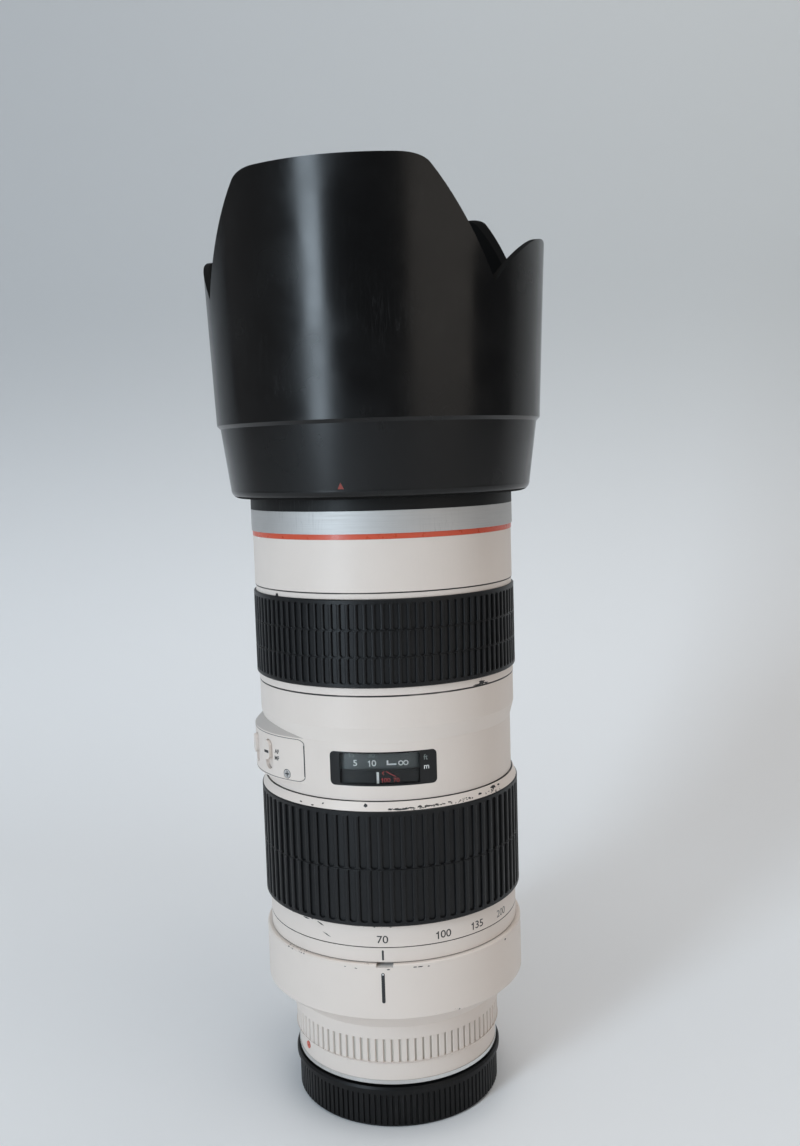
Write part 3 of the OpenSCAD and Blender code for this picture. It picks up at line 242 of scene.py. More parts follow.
def build_seam_shadow(shade, given):
    """Painted shade within reach of a low and a high edge, broken up a little."""
    z = shade.along(given["Vector"], "Z")
    masks = []
    for end in ("Low", "High"):
        off = shade.calc("ABSOLUTE", shade.calc("SUBTRACT", z, given[end + " Edge"]))
        inner = shade.calc("MULTIPLY", given[end + " Reach"], 0.5)
        masks.append(shade.span(off, inner, given[end + " Reach"], 1.0, 0.0))
    patches = shade.noise(given["Vector"], scale=120.0, rough=0.6)
    broken = shade.span(patches, 0.25, 0.55, to_low=0.7)
    return shade.calc("MULTIPLY", shade.calc("MAXIMUM", masks[0], masks[1]), broken)


def build_groove_shade(shade, given):
    """Painted shade, strongest at a floor radius and gone at a top radius, between two heights."""
    flat = shade.mapped(given["Vector"], (1.0, 1.0, 0.0))
    length = shade.add("ShaderNodeVectorMath", operation="LENGTH")
    shade.feed(length.inputs[0], flat)
    deep = shade.span(length.outputs["Value"], given["Floor"], given["Top"], 1.0, 0.0)
    z = shade.along(given["Vector"], "Z")
    above = shade.calc("GREATER_THAN", z, given["Low Edge"])
    underside_light_mask = shade.calc("LESS_THAN", z, given["High Edge"])
    return shade.calc("MULTIPLY", deep, shade.calc("MULTIPLY", above, underside_light_mask))


def build_hair_scratches(shade, given):
    """Fine lines in two directions, in patches."""
    masks = []
    for turn in ((0.5, 0.3, 0.0), (-0.7, 0.2, 0.9)):
        streak = shade.mapped(given["Vector"], (1.0, 1.0, 0.05), turn)
        lines = shade.noise(streak, given["Scale"], detail=2.0)
        off = shade.calc("ABSOLUTE", shade.calc("SUBTRACT", lines, 0.5))
        masks.append(shade.span(off, 0.0, 0.012, 1.0, 0.0))
    both = shade.calc("MAXIMUM", masks[0], masks[1])
    where = shade.span(shade.noise(given["Vector"], scale=45.0, detail=2.0), 0.46, 0.66)
    return shade.calc("MULTIPLY", shade.calc("MULTIPLY", both, where), given["Amount"], clamp=True)


def build_dust_film(shade, given):
    """A soft film with single grains in it."""
    cloud = shade.span(shade.noise(given["Vector"], scale=90.0, detail=5.0, rough=0.65), 0.40, 0.75)
    grains = shade.span(shade.specks(given["Vector"], given["Grain Scale"]), 0.05, 0.14, 1.0, 0.0)
    soft = shade.calc("MULTIPLY", cloud, 0.35)
    both = shade.calc("ADD", soft, shade.calc("MULTIPLY", grains, cloud))
    return shade.calc("MULTIPLY", both, given["Amount"], clamp=True)


def build_fine_grain(shade, given):
    """Moulding grain in two sizes."""
    coarse = shade.noise(given["Vector"], given["Scale"], detail=2.0)
    fine = shade.noise(given["Vector"], shade.calc("MULTIPLY", given["Scale"], 2.7), detail=2.0)
    return shade.calc("ADD", coarse, shade.calc("MULTIPLY", fine, 0.5))


EDGES = ("Low Edge", "High Edge")
edge_chips = effect_group("edge_chips", EDGES + ("Reach", "Amount"), build_edge_chips)
seam_shadow = effect_group("seam_shadow", EDGES + ("Low Reach", "High Reach"), build_seam_shadow)
groove_shade = effect_group("groove_shade", EDGES + ("Floor", "Top"), build_groove_shade)
hair_scratches = effect_group("hair_scratches", ("Scale", "Amount"), build_hair_scratches)
dust_film = effect_group("dust_film", ("Grain Scale", "Amount"), build_dust_film)
fine_grain = effect_group("fine_grain", ("Scale",), build_fine_grain)


def new_material(name, metallic=0.0, specular=0.5):
    material = bpy.data.materials.new(name)
    material.use_nodes = True
    shade = Shade(material.node_tree)
    shader = material.node_tree.nodes["Principled BSDF"]
    return material, shade, shade.fill(shader, Metallic=metallic, Specular_IOR_Level=specular)


def opaque(colour, share=1.0):
    return tuple(c * share for c in colour) + (1,)


def cream_paint(node, chips, reach_mm=0.9, chip_edges=None, seam_reach=None, grooves=None, ledge_light_and_shade=0.0):
    """Warm white enamel, chipped along two edges, with painted shade in its seams and grooves, painted
    shade on ledges that face up and painted light on surfaces that face down.
    """
    material, shade, shader = new_material(node + "_paint")
    low_mm, high_mm = ends_mm(node)
    place = shade.coords()
    tone = shade.noise(place, scale=35.0)
    paint = shade.blend(tone, PAINT_DARK, PAINT_LIGHT)
    scuffs = shade.effect(hair_scratches, Vector=place, Scale=700.0, Amount=0.04)
    greyed = shade.blend(scuffs, paint, PAINT_SCUFF)
    film = shade.effect(dust_film, Vector=place, Grain_Scale=600.0, Amount=0.08)
    paint_layers = shade.blend(film, greyed, PAINT_DUST)
    # Painted shade on surfaces that face up, and painted light on surfaces that face down
    if ledge_light_and_shade:
        upward = shade.along(shade.surface_normal(), "Z")
        top_shade_mask = shade.span(upward, 0.2, 0.6, to_high=ledge_light_and_shade)
        underside_light_mask = shade.span(upward, -0.22, -0.05, to_low=ledge_light_and_shade * UNDERSIDE_SHARE, to_high=0.0)
        paint_layers = shade.blend(top_shade_mask, paint_layers, PAINTED_LEDGE_SHADE)
        paint_layers = shade.blend(underside_light_mask, paint_layers, PAINTED_UNDERSIDE_LIGHT)
    # Painted shade in the grooves, darkest at their floor
    if grooves:
        floor_mm, top_mm, first_mm, last_mm = grooves
        painted_shade_mask = shade.effect(groove_shade, Vector=place, Floor=floor_mm * MM, Top=top_mm * MM,
                            Low_Edge=first_mm * MM, High_Edge=last_mm * MM)
        paint_layers = shade.blend(painted_shade_mask, paint_layers, GROOVE_SHADE)
    # Painted shade along the seams at the node's low and high ends
    if seam_reach:
        painted_shade_mask = shade.effect(seam_shadow, Vector=place, Low_Edge=low_mm * MM, High_Edge=high_mm * MM,
                            Low_Reach=seam_reach[0] * MM, High_Reach=seam_reach[1] * MM)
        paint_layers = shade.blend(painted_shade_mask, paint_layers, SEAM_SHADOW)
    chip_low, chip_high = chip_edges or (low_mm, high_mm)
    worn = shade.effect(edge_chips, Vector=place, Low_Edge=chip_low * MM, High_Edge=chip_high * MM,
                        Reach=reach_mm * MM, Amount=chips)
    grain = shade.effect(fine_grain, Vector=place, Scale=2600.0)
    relief = shade.calc("SUBTRACT", shade.calc("MULTIPLY", grain, 0.12), worn)
    shade.fill(shader, Base_Color=shade.blend(worn, paint_layers, CHIP_COLOUR),
               Roughness=shade.span(tone, 0.3, 0.7, to_low=0.36, to_high=0.48),
               Normal=shade.bump(relief, strength=0.25, distance=0.0001))
    return material


def black_plastic(name, colour, rough, dust, scuffs, depth, grain=3000.0, specular=0.5, flocked=False):
    """Moulded plastic or painted metal: grain, hairline scuffs and dust, dull on the inside if flocked."""
    material, shade, shader = new_material(name, specular=specular)
    place = shade.coords()
    tone = shade.noise(place, scale=50.0)
    base = shade.blend(tone, opaque(colour, 0.8), opaque(colour))
    marks = shade.effect(hair_scratches, Vector=place, Scale=650.0, Amount=scuffs)
    marked = shade.blend(marks, base, PLASTIC_SCUFF)
    film = shade.effect(dust_film, Vector=place, Grain_Scale=750.0, Amount=dust)
    coloured = shade.blend(film, marked, DUST_COLOUR)
    dull = shade.span(tone, 0.3, 0.7, to_low=rough[0], to_high=rough[1])
    dull = shade.calc("ADD", dull, shade.calc("MULTIPLY", marks, 0.15))
    if flocked:
        inside = shade.facing_axis(place)
        coloured = shade.blend(inside, coloured, FLOCK_COLOUR)
        dull = shade.span(inside, 0.0, 1.0, to_low=dull, to_high=FLOCK_ROUGH)
        shine = shade.span(inside, 0.0, 1.0, to_low=specular, to_high=FLOCK_SPECULAR)
        shade.fill(shader, Specular_IOR_Level=shine)
    relief = shade.effect(fine_grain, Vector=place, Scale=grain)
    shade.fill(shader, Base_Color=coloured, Roughness=dull,
               Normal=shade.bump(relief, strength=depth, distance=0.00005))
    return material


def turned_metal(name, colour, rough, rings, depth):
    """Bare metal with fine turning marks round the axis."""
    material, shade, shader = new_material(name, metallic=1.0)
    place = shade.coords()
    turning = shade.noise(shade.mapped(place, (0.02, 0.02, 1.0)), rings, rough=0.6)
    tone = shade.noise(place, scale=60.0)
    marks = shade.effect(hair_scratches, Vector=place, Scale=800.0, Amount=0.5)
    base = shade.blend(tone, opaque(colour, 0.86), opaque(colour))
    shade.fill(shader, Base_Color=shade.blend(marks, base, opaque(colour, 0.7)),
               Roughness=shade.span(turning, 0.3, 0.7, to_low=rough[0], to_high=rough[1]),
               Normal=shade.bump(turning, strength=depth, distance=0.00004))
    return material


def enamel(name, colour, rough=0.5):
    """Printed or filled colour, slightly uneven."""
    material, shade, shader = new_material(name)
    tone = shade.noise(shade.coords(), scale=400.0, rough=0.6)
    shade.fill(shader, Base_Color=shade.blend(tone, opaque(colour, 0.85), opaque(colour)),
               Roughness=shade.span(tone, 0.3, 0.7, to_low=rough - 0.06, to_high=rough + 0.06))
    return material


def clear_glass(name, tint, ior, dust):
    """Clear glass or acrylic under a little dust."""
    material, shade, shader = new_material(name)
    film = shade.effect(dust_film, Vector=shade.coords(), Grain_Scale=500.0, Amount=dust)
    shade.fill(shader, Base_Color=shade.blend(film, opaque(tint), GLASS_DUST), IOR=ior,
               Roughness=shade.span(film, 0.0, 1.0, to_low=0.01, to_high=0.25), Transmission_Weight=1.0)
    return material


hood_plastic = black_plastic(
    "hood_plastic", (0.0024, 0.0024, 0.0026), rough=(0.18, 0.28), grain=1500.0,
    dust=0.004, scuffs=0.05, depth=0.08, specular=0.38, flocked=True)
cap_plastic = black_plastic(
    "cap_plastic", (0.0050, 0.0050, 0.0054), rough=(0.40, 0.52), grain=2600.0,
    dust=0.008, scuffs=0.08, depth=0.15, specular=0.22)
grip_rubber = black_plastic(
    "grip_rubber", (0.0055, 0.0059, 0.0068), rough=(0.36, 0.46), grain=2400.0,
    dust=0.008, scuffs=0.04, depth=0.12, specular=0.30)
black_metal = black_plastic(
    "black_metal", (0.006, 0.006, 0.006), rough=(0.42, 0.55),
    dust=0.01, scuffs=0.1, depth=0.08, specular=0.25)
drum_black = black_plastic(
    "drum_black", (0.048, 0.058, 0.058), rough=(0.34, 0.40),
    dust=0.02, scuffs=0.1, depth=0.05, specular=0.9)
plate_black = black_plastic(
    "plate_black", (0.004, 0.005, 0.006), rough=(0.34, 0.42),
    dust=0.006, scuffs=0.05, depth=0.05, specular=0.25)
mask_black = black_plastic(
    "mask_black", (0.004, 0.004, 0.0045), rough=(0.10, 0.16),
    dust=0.01, scuffs=0.03, depth=0.02, specular=0.4)
board_green = black_plastic(
    "board_green", (0.03, 0.16, 0.07), rough=(0.35, 0.48), grain=2500.0,
    dust=0.05, scuffs=0.1, depth=0.06)
bright_chrome = turned_metal("bright_chrome", (0.72, 0.72, 0.71), (0.10, 0.20), rings=2600.0, depth=0.05)
satin_silver = turned_metal("satin_silver", (0.66, 0.65, 0.64), (0.60, 0.70), rings=3200.0, depth=0.06)
bare_aluminium = turned_metal("bare_aluminium", (0.66, 0.66, 0.67), (0.26, 0.38), rings=2400.0, depth=0.10)
steel_fastener = turned_metal("steel_fastener", (0.58, 0.58, 0.59), (0.22, 0.34), rings=2800.0, depth=0.08)
contact_brass = turned_metal("contact_brass", (0.83, 0.67, 0.33), (0.18, 0.30), rings=2800.0, depth=0.06)
signal_red = enamel("signal_red", (0.66, 0.095, 0.045), rough=0.32)
print_black = enamel("print_black", (0.022, 0.022, 0.024))
print_worn = enamel("print_worn", (0.22, 0.21, 0.20))
print_white = enamel("print_white", (0.80, 0.80, 0.78))
print_grey = enamel("print_grey", (0.20, 0.23, 0.22))
hood_red = enamel("hood_red", (0.24, 0.033, 0.020))
faded_red = enamel("faded_red", (0.74, 0.045, 0.05))
seam_shade = enamel("seam_shade", (0.20, 0.185, 0.17), rough=0.6)
# Painted light: a pale floor for the collar's notch
notch_painted_light = enamel("notch_painted_light", (0.70, 0.67, 0.64))
chip_black = enamel("chip_black", (0.028, 0.027, 0.027), rough=0.6)
coated_glass = clear_glass("coated_glass", (0.90, 0.95, 0.98), ior=1.52, dust=0.06)
window_clear = clear_glass("window_clear", (0.94, 0.96, 0.96), ior=1.24, dust=0.03)

# Worn edges of the painted nodes, and the rear grooves that get painted shade, in millimetres
REAR_EDGES = (21.5, 33.8)
REAR_GROOVES = (33.45, 33.85, 22.2, 29.7)
COLLAR_EDGES = (40.8, 57.5)
ZOOM_EDGES = (ZOOM_GRIP_LOW, ZOOM_GRIP_HIGH + 0.35)
FOCUS_EDGES = (FOCUS_GRIP_LOW - 0.6, FOCUS_GRIP_HIGH + 0.3)
SWITCH_EDGES = (116.0, 123.0)
PAINTED = {
    "rear_barrel": dict(chips=0.16, chip_edges=REAR_EDGES, grooves=REAR_GROOVES),
    "tripod_collar": dict(chips=0.24, chip_edges=COLLAR_EDGES, reach_mm=1.1),
    "index_ring": dict(chips=0.16, seam_reach=(0.10, 0.06)),
    "zoom_sleeve": dict(chips=0.26, chip_edges=ZOOM_EDGES, reach_mm=1.6, seam_reach=(0.06, 0.02)),
    "centre_barrel": dict(chips=0.18, seam_reach=(0.02, 0.25), ledge_light_and_shade=0.5),
    "focus_sleeve": dict(chips=0.20, chip_edges=FOCUS_EDGES, seam_reach=(0.20, 0.16)),
    "front_barrel": dict(chips=0.10, seam_reach=(0.16, 0.05)),
    "switch_panel": dict(chips=0.10, reach_mm=0.5),
    "focus_mode_switch": dict(chips=0.10, chip_edges=SWITCH_EDGES, reach_mm=0.5),
    "range_switch": dict(chips=0.10, chip_edges=SWITCH_EDGES, reach_mm=0.5),
}
SHARED = (
    (cap_plastic, ("rear_cap", "collar_knob", "contact_block", "rear_baffle")),
    (bright_chrome, ("mount_flange",)),
    (satin_silver, ("name_band", "panel_screws")),
    (steel_fastener, ("mount_screws", "tripod_insert", "clamp_screw")),
    (steel_fastener, ("zoom_key", "focus_key", "iris_motor")),
    (bare_aluminium, ("zoom_cam_tube", "focus_cam_tube", "motor_rotor", "iris_ring")),
    (contact_brass, ("contact_pins", "motor_stator")),
    (signal_red, ("mount_index_dot", "red_ring")),
    (board_green, ("circuit_board",)),
    (black_metal, ("main_tube", "filter_ring", "retaining_ring", "iris_base", "iris_cover")),
    (black_metal, ("variator_cell", "compensator_cell", "focus_cell", "rear_cell")),
    (black_metal, ["iris_blade_%d" % (i + 1) for i in range(8)]),
    (grip_rubber, ("zoom_grip", "focus_grip")),
    (coated_glass, ("front_element", "variator_glass", "compensator_glass", "focus_glass", "rear_glass")),
    (drum_black, ("scale_drum",)),
    (plate_black, ("window_index_plate",)),
    (window_clear, ("window_cover",)),
    (hood_plastic, ("lens_hood",)),
)
finishes = {node: cream_paint(node, **wear) for node, wear in PAINTED.items()}
finishes.update({node: finish for finish, names in SHARED for node in names})
for name, part in nodes.items():
    part.data.materials.clear()
    part.data.materials.append(finishes[name])


# Printed marks, wrapped round the barrel

def panel_curve():
    """Shift of the switch panel's own axis and radius of its face about that axis."""
    mid_r = CENTRE_R + PANEL_PROUD
    half = math.radians(PANEL_HALF_DEG)
    shift = (mid_r ** 2 - CENTRE_R ** 2) / (2 * (mid_r - CENTRE_R * math.cos(half)))
    return shift, mid_r - shift


def panel_radius(deg, z_mm):
    """Distance of the switch panel's face from the lens's axis."""
    shift, curve_r = panel_curve()
    turn = math.radians(deg - PANEL_DEG)
    return shift * math.cos(turn) + math.sqrt(curve_r ** 2 - (shift * math.sin(turn)) ** 2)


def wrap(mesh, deg, z_mm, radius):
    """Bends a flat mesh in millimetres round the axis: x runs round, y runs up, z stands out."""
    surface = radius if callable(radius) else (lambda angle, height: radius)
    centre_r = surface(deg, z_mm)
    for vertex in mesh.vertices:
        angle = deg + math.degrees(vertex.co.x / centre_r)
        height = z_mm + vertex.co.y
        r = surface(angle, height) + vertex.co.z
        turn = math.radians(angle)
        vertex.co = (r * math.sin(turn) * MM, -r * math.cos(turn) * MM, height * MM)
    return mesh


def place_piece(name, mesh, material, body):
    mesh.materials.clear()
    mesh.materials.append(material)
    piece = bpy.data.objects.new(name, mesh)
    scene.collection.objects.link(piece)
    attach(piece, body)
    return piece


def built_mesh(made, name, outward=True):
    """The mesh of what was made so far."""
    if outward:
        bmesh.ops.recalc_face_normals(made, faces=made.faces)
    mesh = bpy.data.meshes.new(name)
    made.to_mesh(mesh)
    made.free()
    return mesh


def bridge(made, ring, after, smooth):
    """Faces between two rings with the same number of points."""
    for i in range(len(ring)):
        k = (i + 1) % len(ring)
        made.faces.new((ring[i], ring[k], after[k], after[i])).smooth = smooth


def shown_mesh(holder):
    """The plain mesh that an object shows."""
    bpy.context.view_layer.update()
    evaluated = holder.evaluated_get(bpy.context.evaluated_depsgraph_get())
    return bpy.data.meshes.new_from_object(evaluated)


# Share of a font's size that a capital takes
CAPITAL_SHARE = 0.73


def text_mesh(words, height, stretch=1.0, weight=0.0):
    """Letters in millimetres, centred, with a thin body."""
    curve = bpy.data.curves.new("letters", "FONT")
    curve.body = words
    curve.size = height / CAPITAL_SHARE
    curve.align_x = curve.align_y = "CENTER"
    curve.extrude = DECAL_T / 2
    curve.offset = weight
    holder = bpy.data.objects.new("letters", curve)
    scene.collection.objects.link(holder)
    mesh = shown_mesh(holder)
    bpy.data.objects.remove(holder)
    mesh.transform(Matrix.Diagonal((stretch, 1, 1, 1)))
    return mesh


def outline_mesh(loops):
    """Thin plates in millimetres from flat outlines, counter-clockwise."""
    made = bmesh.new()
    for loop in loops:
        face = made.faces.new([made.verts.new((x, y, DECAL_T / 2)) for x, y in loop])
        result = bmesh.ops.extrude_face_region(made, geom=[face])
        for item in result["geom"]:
            if isinstance(item, bmesh.types.BMVert):
                item.co.z = -DECAL_T / 2
    bmesh.ops.recalc_face_normals(made, faces=made.faces)
    bmesh.ops.triangulate(made, faces=[f for f in made.faces if len(f.verts) > 4])
    return built_mesh(made, "marks", outward=False)


def bar(width, height, x=0.0, y=0.0, steps=6):
    """Outline of an upright bar, with points along its width so that it bends well."""
    low = [(x - width / 2 + width * i / steps, y - height / 2) for i in range(steps + 1)]
    high = [(x + width / 2 - width * i / steps, y + height / 2) for i in range(steps + 1)]
    return low + high


def print_on(name, mesh, radius, material, body, z_mm, deg=0.0):
    place_piece(name, wrap(mesh, deg, z_mm, radius), material, body)


def joined_mesh(name, meshes):
    made = bmesh.new()
    for mesh in meshes:
        made.from_mesh(mesh)
        bpy.data.meshes.remove(mesh)
    return built_mesh(made, name, outward=False)


# Outline of the digit one and steps between digits, for a height of one
ONE_GLYPH = [(0.0, -0.5), (0.16, -0.5), (0.16, 0.5), (0.04, 0.5),
             (-0.05, 0.37), (-0.22, 0.31), (-0.22, 0.20), (0.0, 0.20)]
DIGIT_STEP = 0.76
DIGIT_STRETCH = 1.14
POINT_STEP = 0.40


def number_mesh(words, height, weight=0.0):
    """Digits in millimetres, centred and evenly stepped."""
    steps = [height * (POINT_STEP if letter in ". " else DIGIT_STEP) for letter in words]
    x = -sum(steps) / 2
    digits = []
    for letter, step in zip(words, steps):
        if letter == "1":
            digit = outline_mesh([[(px * height, py * height) for px, py in ONE_GLYPH]])
        else:
            digit = text_mesh(letter, height, DIGIT_STRETCH, weight)
        digit.transform(Matrix.Translation((x + step / 2, 0, 0)))
        x += step
        digits.append(digit)
    return joined_mesh("number", digits)


def stroke(points, width):
    """Outlines of short bars along a line of points."""
    bars = []
    for (x0, y0), (x1, y1) in zip(points, points[1:]):
        length = math.hypot(x1 - x0, y1 - y0)
        off_x = (y0 - y1) / length * width / 2
        off_y = (x1 - x0) / length * width / 2
        bars.append([(x0 - off_x, y0 - off_y), (x1 - off_x, y1 - off_y),
                     (x1 + off_x, y1 + off_y), (x0 + off_x, y0 + off_y)])
    return bars


def circle_points(x, y, radius, steps=24):
    turns = [2 * math.pi * i / steps for i in range(steps + 1)]
    return [(x + radius * math.cos(turn), y + radius * math.sin(turn)) for turn in turns]


# Flat left between the round corners of a bar's end
PILL_FLAT = 0.01


def pill(width, height):
    """Outline of an upright bar with round ends, centred."""
    return [(x, y - height / 2) for x, y in rounded_outline(width, height, width / 2 - PILL_FLAT)]


def rounded_outline(width, height, radius, steps=4):
    """Corners of an upright rounded rectangle that stands on zero."""
    points = []
    for y, z, start in ((width / 2 - radius, radius, -90), (width / 2 - radius, height - radius, 0),
                        (radius - width / 2, height - radius, 90), (radius - width / 2, radius, 180)):
        for i in range(steps + 1):
            turn = math.radians(start + 90 * i / steps)
            points.append((y + radius * math.cos(turn), z + radius * math.sin(turn)))
    return points


# Focal lengths and index lines
ZOOM_NUMBERS = {"70": 0.0, "100": 26.5, "135": 44.1, "200": 61.5}
ZOOM_NUMBER_Z = 64.95
ZOOM_NUMBER_H = 2.4
for words, deg in ZOOM_NUMBERS.items():
    ink = print_worn if words == "200" else print_black
    number = number_mesh(words, ZOOM_NUMBER_H, weight=0.015)
    print_on("zoom_number_" + words, number, INDEX_R, ink, "zoom_ring", ZOOM_NUMBER_Z, deg)
collar_line = outline_mesh([pill(width=1.05, height=9.6)])
collar_dot = outline_mesh([circle_points(0.0, 0.0, radius=0.26)[:-1]])
zoom_line = outline_mesh([pill(width=0.6, height=3.2)])
print_on("collar_index_line", collar_line, COLLAR_R, print_black, "collar", z_mm=50.4)
print_on("collar_index_dot", collar_dot, COLLAR_R + DECAL_T, print_white, "collar", z_mm=54.7)
print_on("zoom_index_line", zoom_line, INDEX_R, print_black, "barrel", z_mm=60.1)

# Distance scale on the drum
METRES = {"1.5": -70.0, "2": -45.0, "3": -25.0, "5": -10.2, "10": -2.7}
METRES_Z = 118.95
METRES_H = 1.9
FEET = {"5": -68.0, "7": -42.0, "10": -22.0, "15": -12.0, "30": -2.7}
FEET_Z = 121.4
FEET_H = 1.4
FAR_RING_X = 0.76
for words, deg in METRES.items():
    number = number_mesh(words, METRES_H, weight=0.03)
    name = "metres_" + words.replace(".", "_")
    print_on(name, number, DRUM_R, print_white, "focus_drive", METRES_Z, deg)
for words, deg in FEET.items():
    print_on("feet_" + words, number_mesh(words, FEET_H), DRUM_R, print_grey, "focus_drive", FEET_Z, deg)
far_rings = [circle_points(side * FAR_RING_X, 0.0, radius=0.64) for side in (-1, 1)]
far_sign = [quad for ring in far_rings for quad in stroke(ring, width=0.34)]
far_stop = [bar(width=0.5, height=1.3, x=-1.2, y=0.3), bar(width=2.9, height=0.45, y=-0.3)]
for name, loops, deg in (("metres_far", far_sign, 11.6), ("far_stop_mark", far_stop, 6.3)):
    print_on(name, outline_mesh(loops), DRUM_R, print_white, "focus_drive", METRES_Z, deg)

# Index plate below the drum
INFRARED_H = 1.3
INFRARED_W = 0.16
window_line = outline_mesh([bar(width=0.72, height=3.5)])
print_on("window_index_line", window_line, PLATE_R, print_white, "barrel", z_mm=114.8, deg=0.1)
for words, deg, z_mm in (("100", 3.4, 114.0), ("70", 8.2, 113.95)):
    number = number_mesh(words, INFRARED_H, weight=-0.02)
    print_on("infrared_" + words, number, PLATE_R, faded_red, "barrel", z_mm, deg)
infrared_lines = stroke([(-1.3, 0.95), (-1.75, 0.55), (-1.75, 0.25), (-1.35, -0.1)], INFRARED_W)
infrared_lines += stroke([(-0.6, 0.9), (0.3, 0.3), (2.2, -0.75)], INFRARED_W)
infrared_marks = outline_mesh(infrared_lines)
print_on("infrared_lines", infrared_marks, PLATE_R, faded_red, "barrel", z_mm=115.8, deg=4.8)


# Black border printed on the window

def dense(points, longest, count):
    """The same outline with its long sides cut into equal steps."""
    out = []
    for (x0, y0), (x1, y1) in zip(points, points[1:] + points[:1]):
        parts = count if math.hypot(x1 - x0, y1 - y0) > longest else 1
        out += [(x0 + (x1 - x0) * i / parts, y0 + (y1 - y0) * i / parts) for i in range(parts)]
    return out


def frame_mesh(outer, inner, layers=8):
    """A thin sheet between two outlines with the same number of points."""
    made = bmesh.new()
    rows = []
    for side in (1, -1):
        sheet = []
        for k in range(layers + 1):
            loop = [(a[0] + (b[0] - a[0]) * k / layers, a[1] + (b[1] - a[1]) * k / layers)
                    for a, b in zip(outer, inner)]
            sheet.append([made.verts.new((x, y, side * DECAL_T / 2)) for x, y in loop])
        rows += sheet if side > 0 else sheet[::-1]
    for row, after in zip(rows, rows[1:] + rows[:1]):
        bridge(made, row, after, smooth=False)
    return built_mesh(made, "frame")


def arc_width(left_deg, right_deg):
    return math.radians(right_deg - left_deg) * CENTRE_R


OPENING_LEFT_DEG = -16.5
OPENING_RIGHT_DEG = 18.4
OPENING_LOW = 0.6
OPENING_TOP = 0.45
OPENING_CORNER = 0.5
LONGEST_SIDE = 3.0
WINDOW_STEPS = 24
window_mid = (WINDOW_LEFT_DEG + WINDOW_RIGHT_DEG) / 2
border = rounded_outline(arc_width(WINDOW_LEFT_DEG, WINDOW_RIGHT_DEG), WINDOW_H, WINDOW_CORNER)
opening_h = WINDOW_H - OPENING_LOW - OPENING_TOP
opening = rounded_outline(arc_width(OPENING_LEFT_DEG, OPENING_RIGHT_DEG), opening_h, OPENING_CORNER)
opening_off = math.radians((OPENING_LEFT_DEG + OPENING_RIGHT_DEG) / 2 - window_mid) * CENTRE_R
opening = [(x + opening_off, y + OPENING_LOW) for x, y in opening]
window_border = frame_mesh(*(dense(loop, LONGEST_SIDE, WINDOW_STEPS) for loop in (border, opening)))
print_on("window_border", window_border, CENTRE_R, mask_black, "barrel", Z_WINDOW, window_mid)
unit_r = CENTRE_R + DECAL_T
feet_unit = text_mesh("ft", height=1.7)
metres_unit = text_mesh("m", height=1.75, weight=0.01)
print_on("feet_unit", feet_unit, unit_r, print_grey, "barrel", z_mm=120.6, deg=21.0)
print_on("metres_unit", metres_unit, unit_r, print_white, "barrel", z_mm=117.8, deg=21.3)

# Marks on the switch panel
LETTER_H = 1.35
LETTER_WEIGHT = 0.05
FOCUS_LETTERS = (("auto", "AF", -50.2, 119.9), ("manual", "MF", -50.4, 117.75))
for mode, words, deg, z_mm in FOCUS_LETTERS:
    letters = text_mesh(words, LETTER_H, weight=LETTER_WEIGHT)
    print_on(mode + "_focus_letters", letters, panel_radius, print_black, "barrel", z_mm, deg)


def panel_point(turn, out_mm):
    """Place at an angle about the switch panel's own axis, out from its face."""
    shift, curve_r = panel_curve()
    mid = math.radians(PANEL_DEG)
    reach = curve_r + out_mm
    return shift * math.sin(mid) + reach * math.sin(turn), -shift * math.cos(mid) - reach * math.cos(turn)


def on_panel(mesh, deg, z_mm, out_mm):
    """Carries a flat mesh to the switch panel, turned about the panel's own axis."""
    turn = math.radians(PANEL_DEG + deg)
    x, y = panel_point(turn, out_mm)
    axes = Matrix(((math.cos(turn), 0, math.sin(turn)), (math.sin(turn), 0, -math.cos(turn)), (0, 1, 0)))
    mesh.transform(Matrix.Scale(MM, 4) @ Matrix.Translation((x, y, z_mm)) @ axes.to_4x4())
    return mesh


def wrap_panel(mesh, z_mm, out_mm):
    """Bends a flat mesh, drawn from the front of the switch panel, on to its face."""
    curve_r = panel_curve()[1]
    for vertex in mesh.vertices:
        turn = math.radians(PANEL_DEG) + math.asin(vertex.co.x / curve_r)
        x, y = panel_point(turn, out_mm + vertex.co.z)
        vertex.co = (x * MM, y * MM, (z_mm + vertex.co.y) * MM)
    return mesh


# Painted shade in the seam round the switch panel and along its right edge
PANEL_CORNER = 1.6
PANEL_GAP = 0.2
PANEL_STEPS = 40
SEAM_OVER = 0.02
EDGE_SHADE_W = 0.42
panel_w = 2 * CENTRE_R * math.sin(math.radians(PANEL_HALF_DEG))
panel_loops = []
for grow in (PANEL_GAP + SEAM_OVER, -SEAM_OVER):
    loop = rounded_outline(panel_w + 2 * grow, PANEL_H + 2 * grow, PANEL_CORNER + grow, steps=6)
    panel_loops.append(dense([(x, y - grow) for x, y in loop], LONGEST_SIDE, PANEL_STEPS))
panel_line = frame_mesh(*panel_loops, layers=2)
place_piece("panel_seam_shade", wrap_panel(panel_line, Z_PANEL, 0.0), seam_shade, "barrel")
edge_x = panel_w / 2 + PANEL_GAP / 2
edge_line = outline_mesh(stroke([(edge_x, PANEL_CORNER), (edge_x, PANEL_H - PANEL_CORNER)], EDGE_SHADE_W))
place_piece("panel_edge_shade", wrap_panel(edge_line, Z_PANEL, DECAL_T / 2), print_black, "barrel")

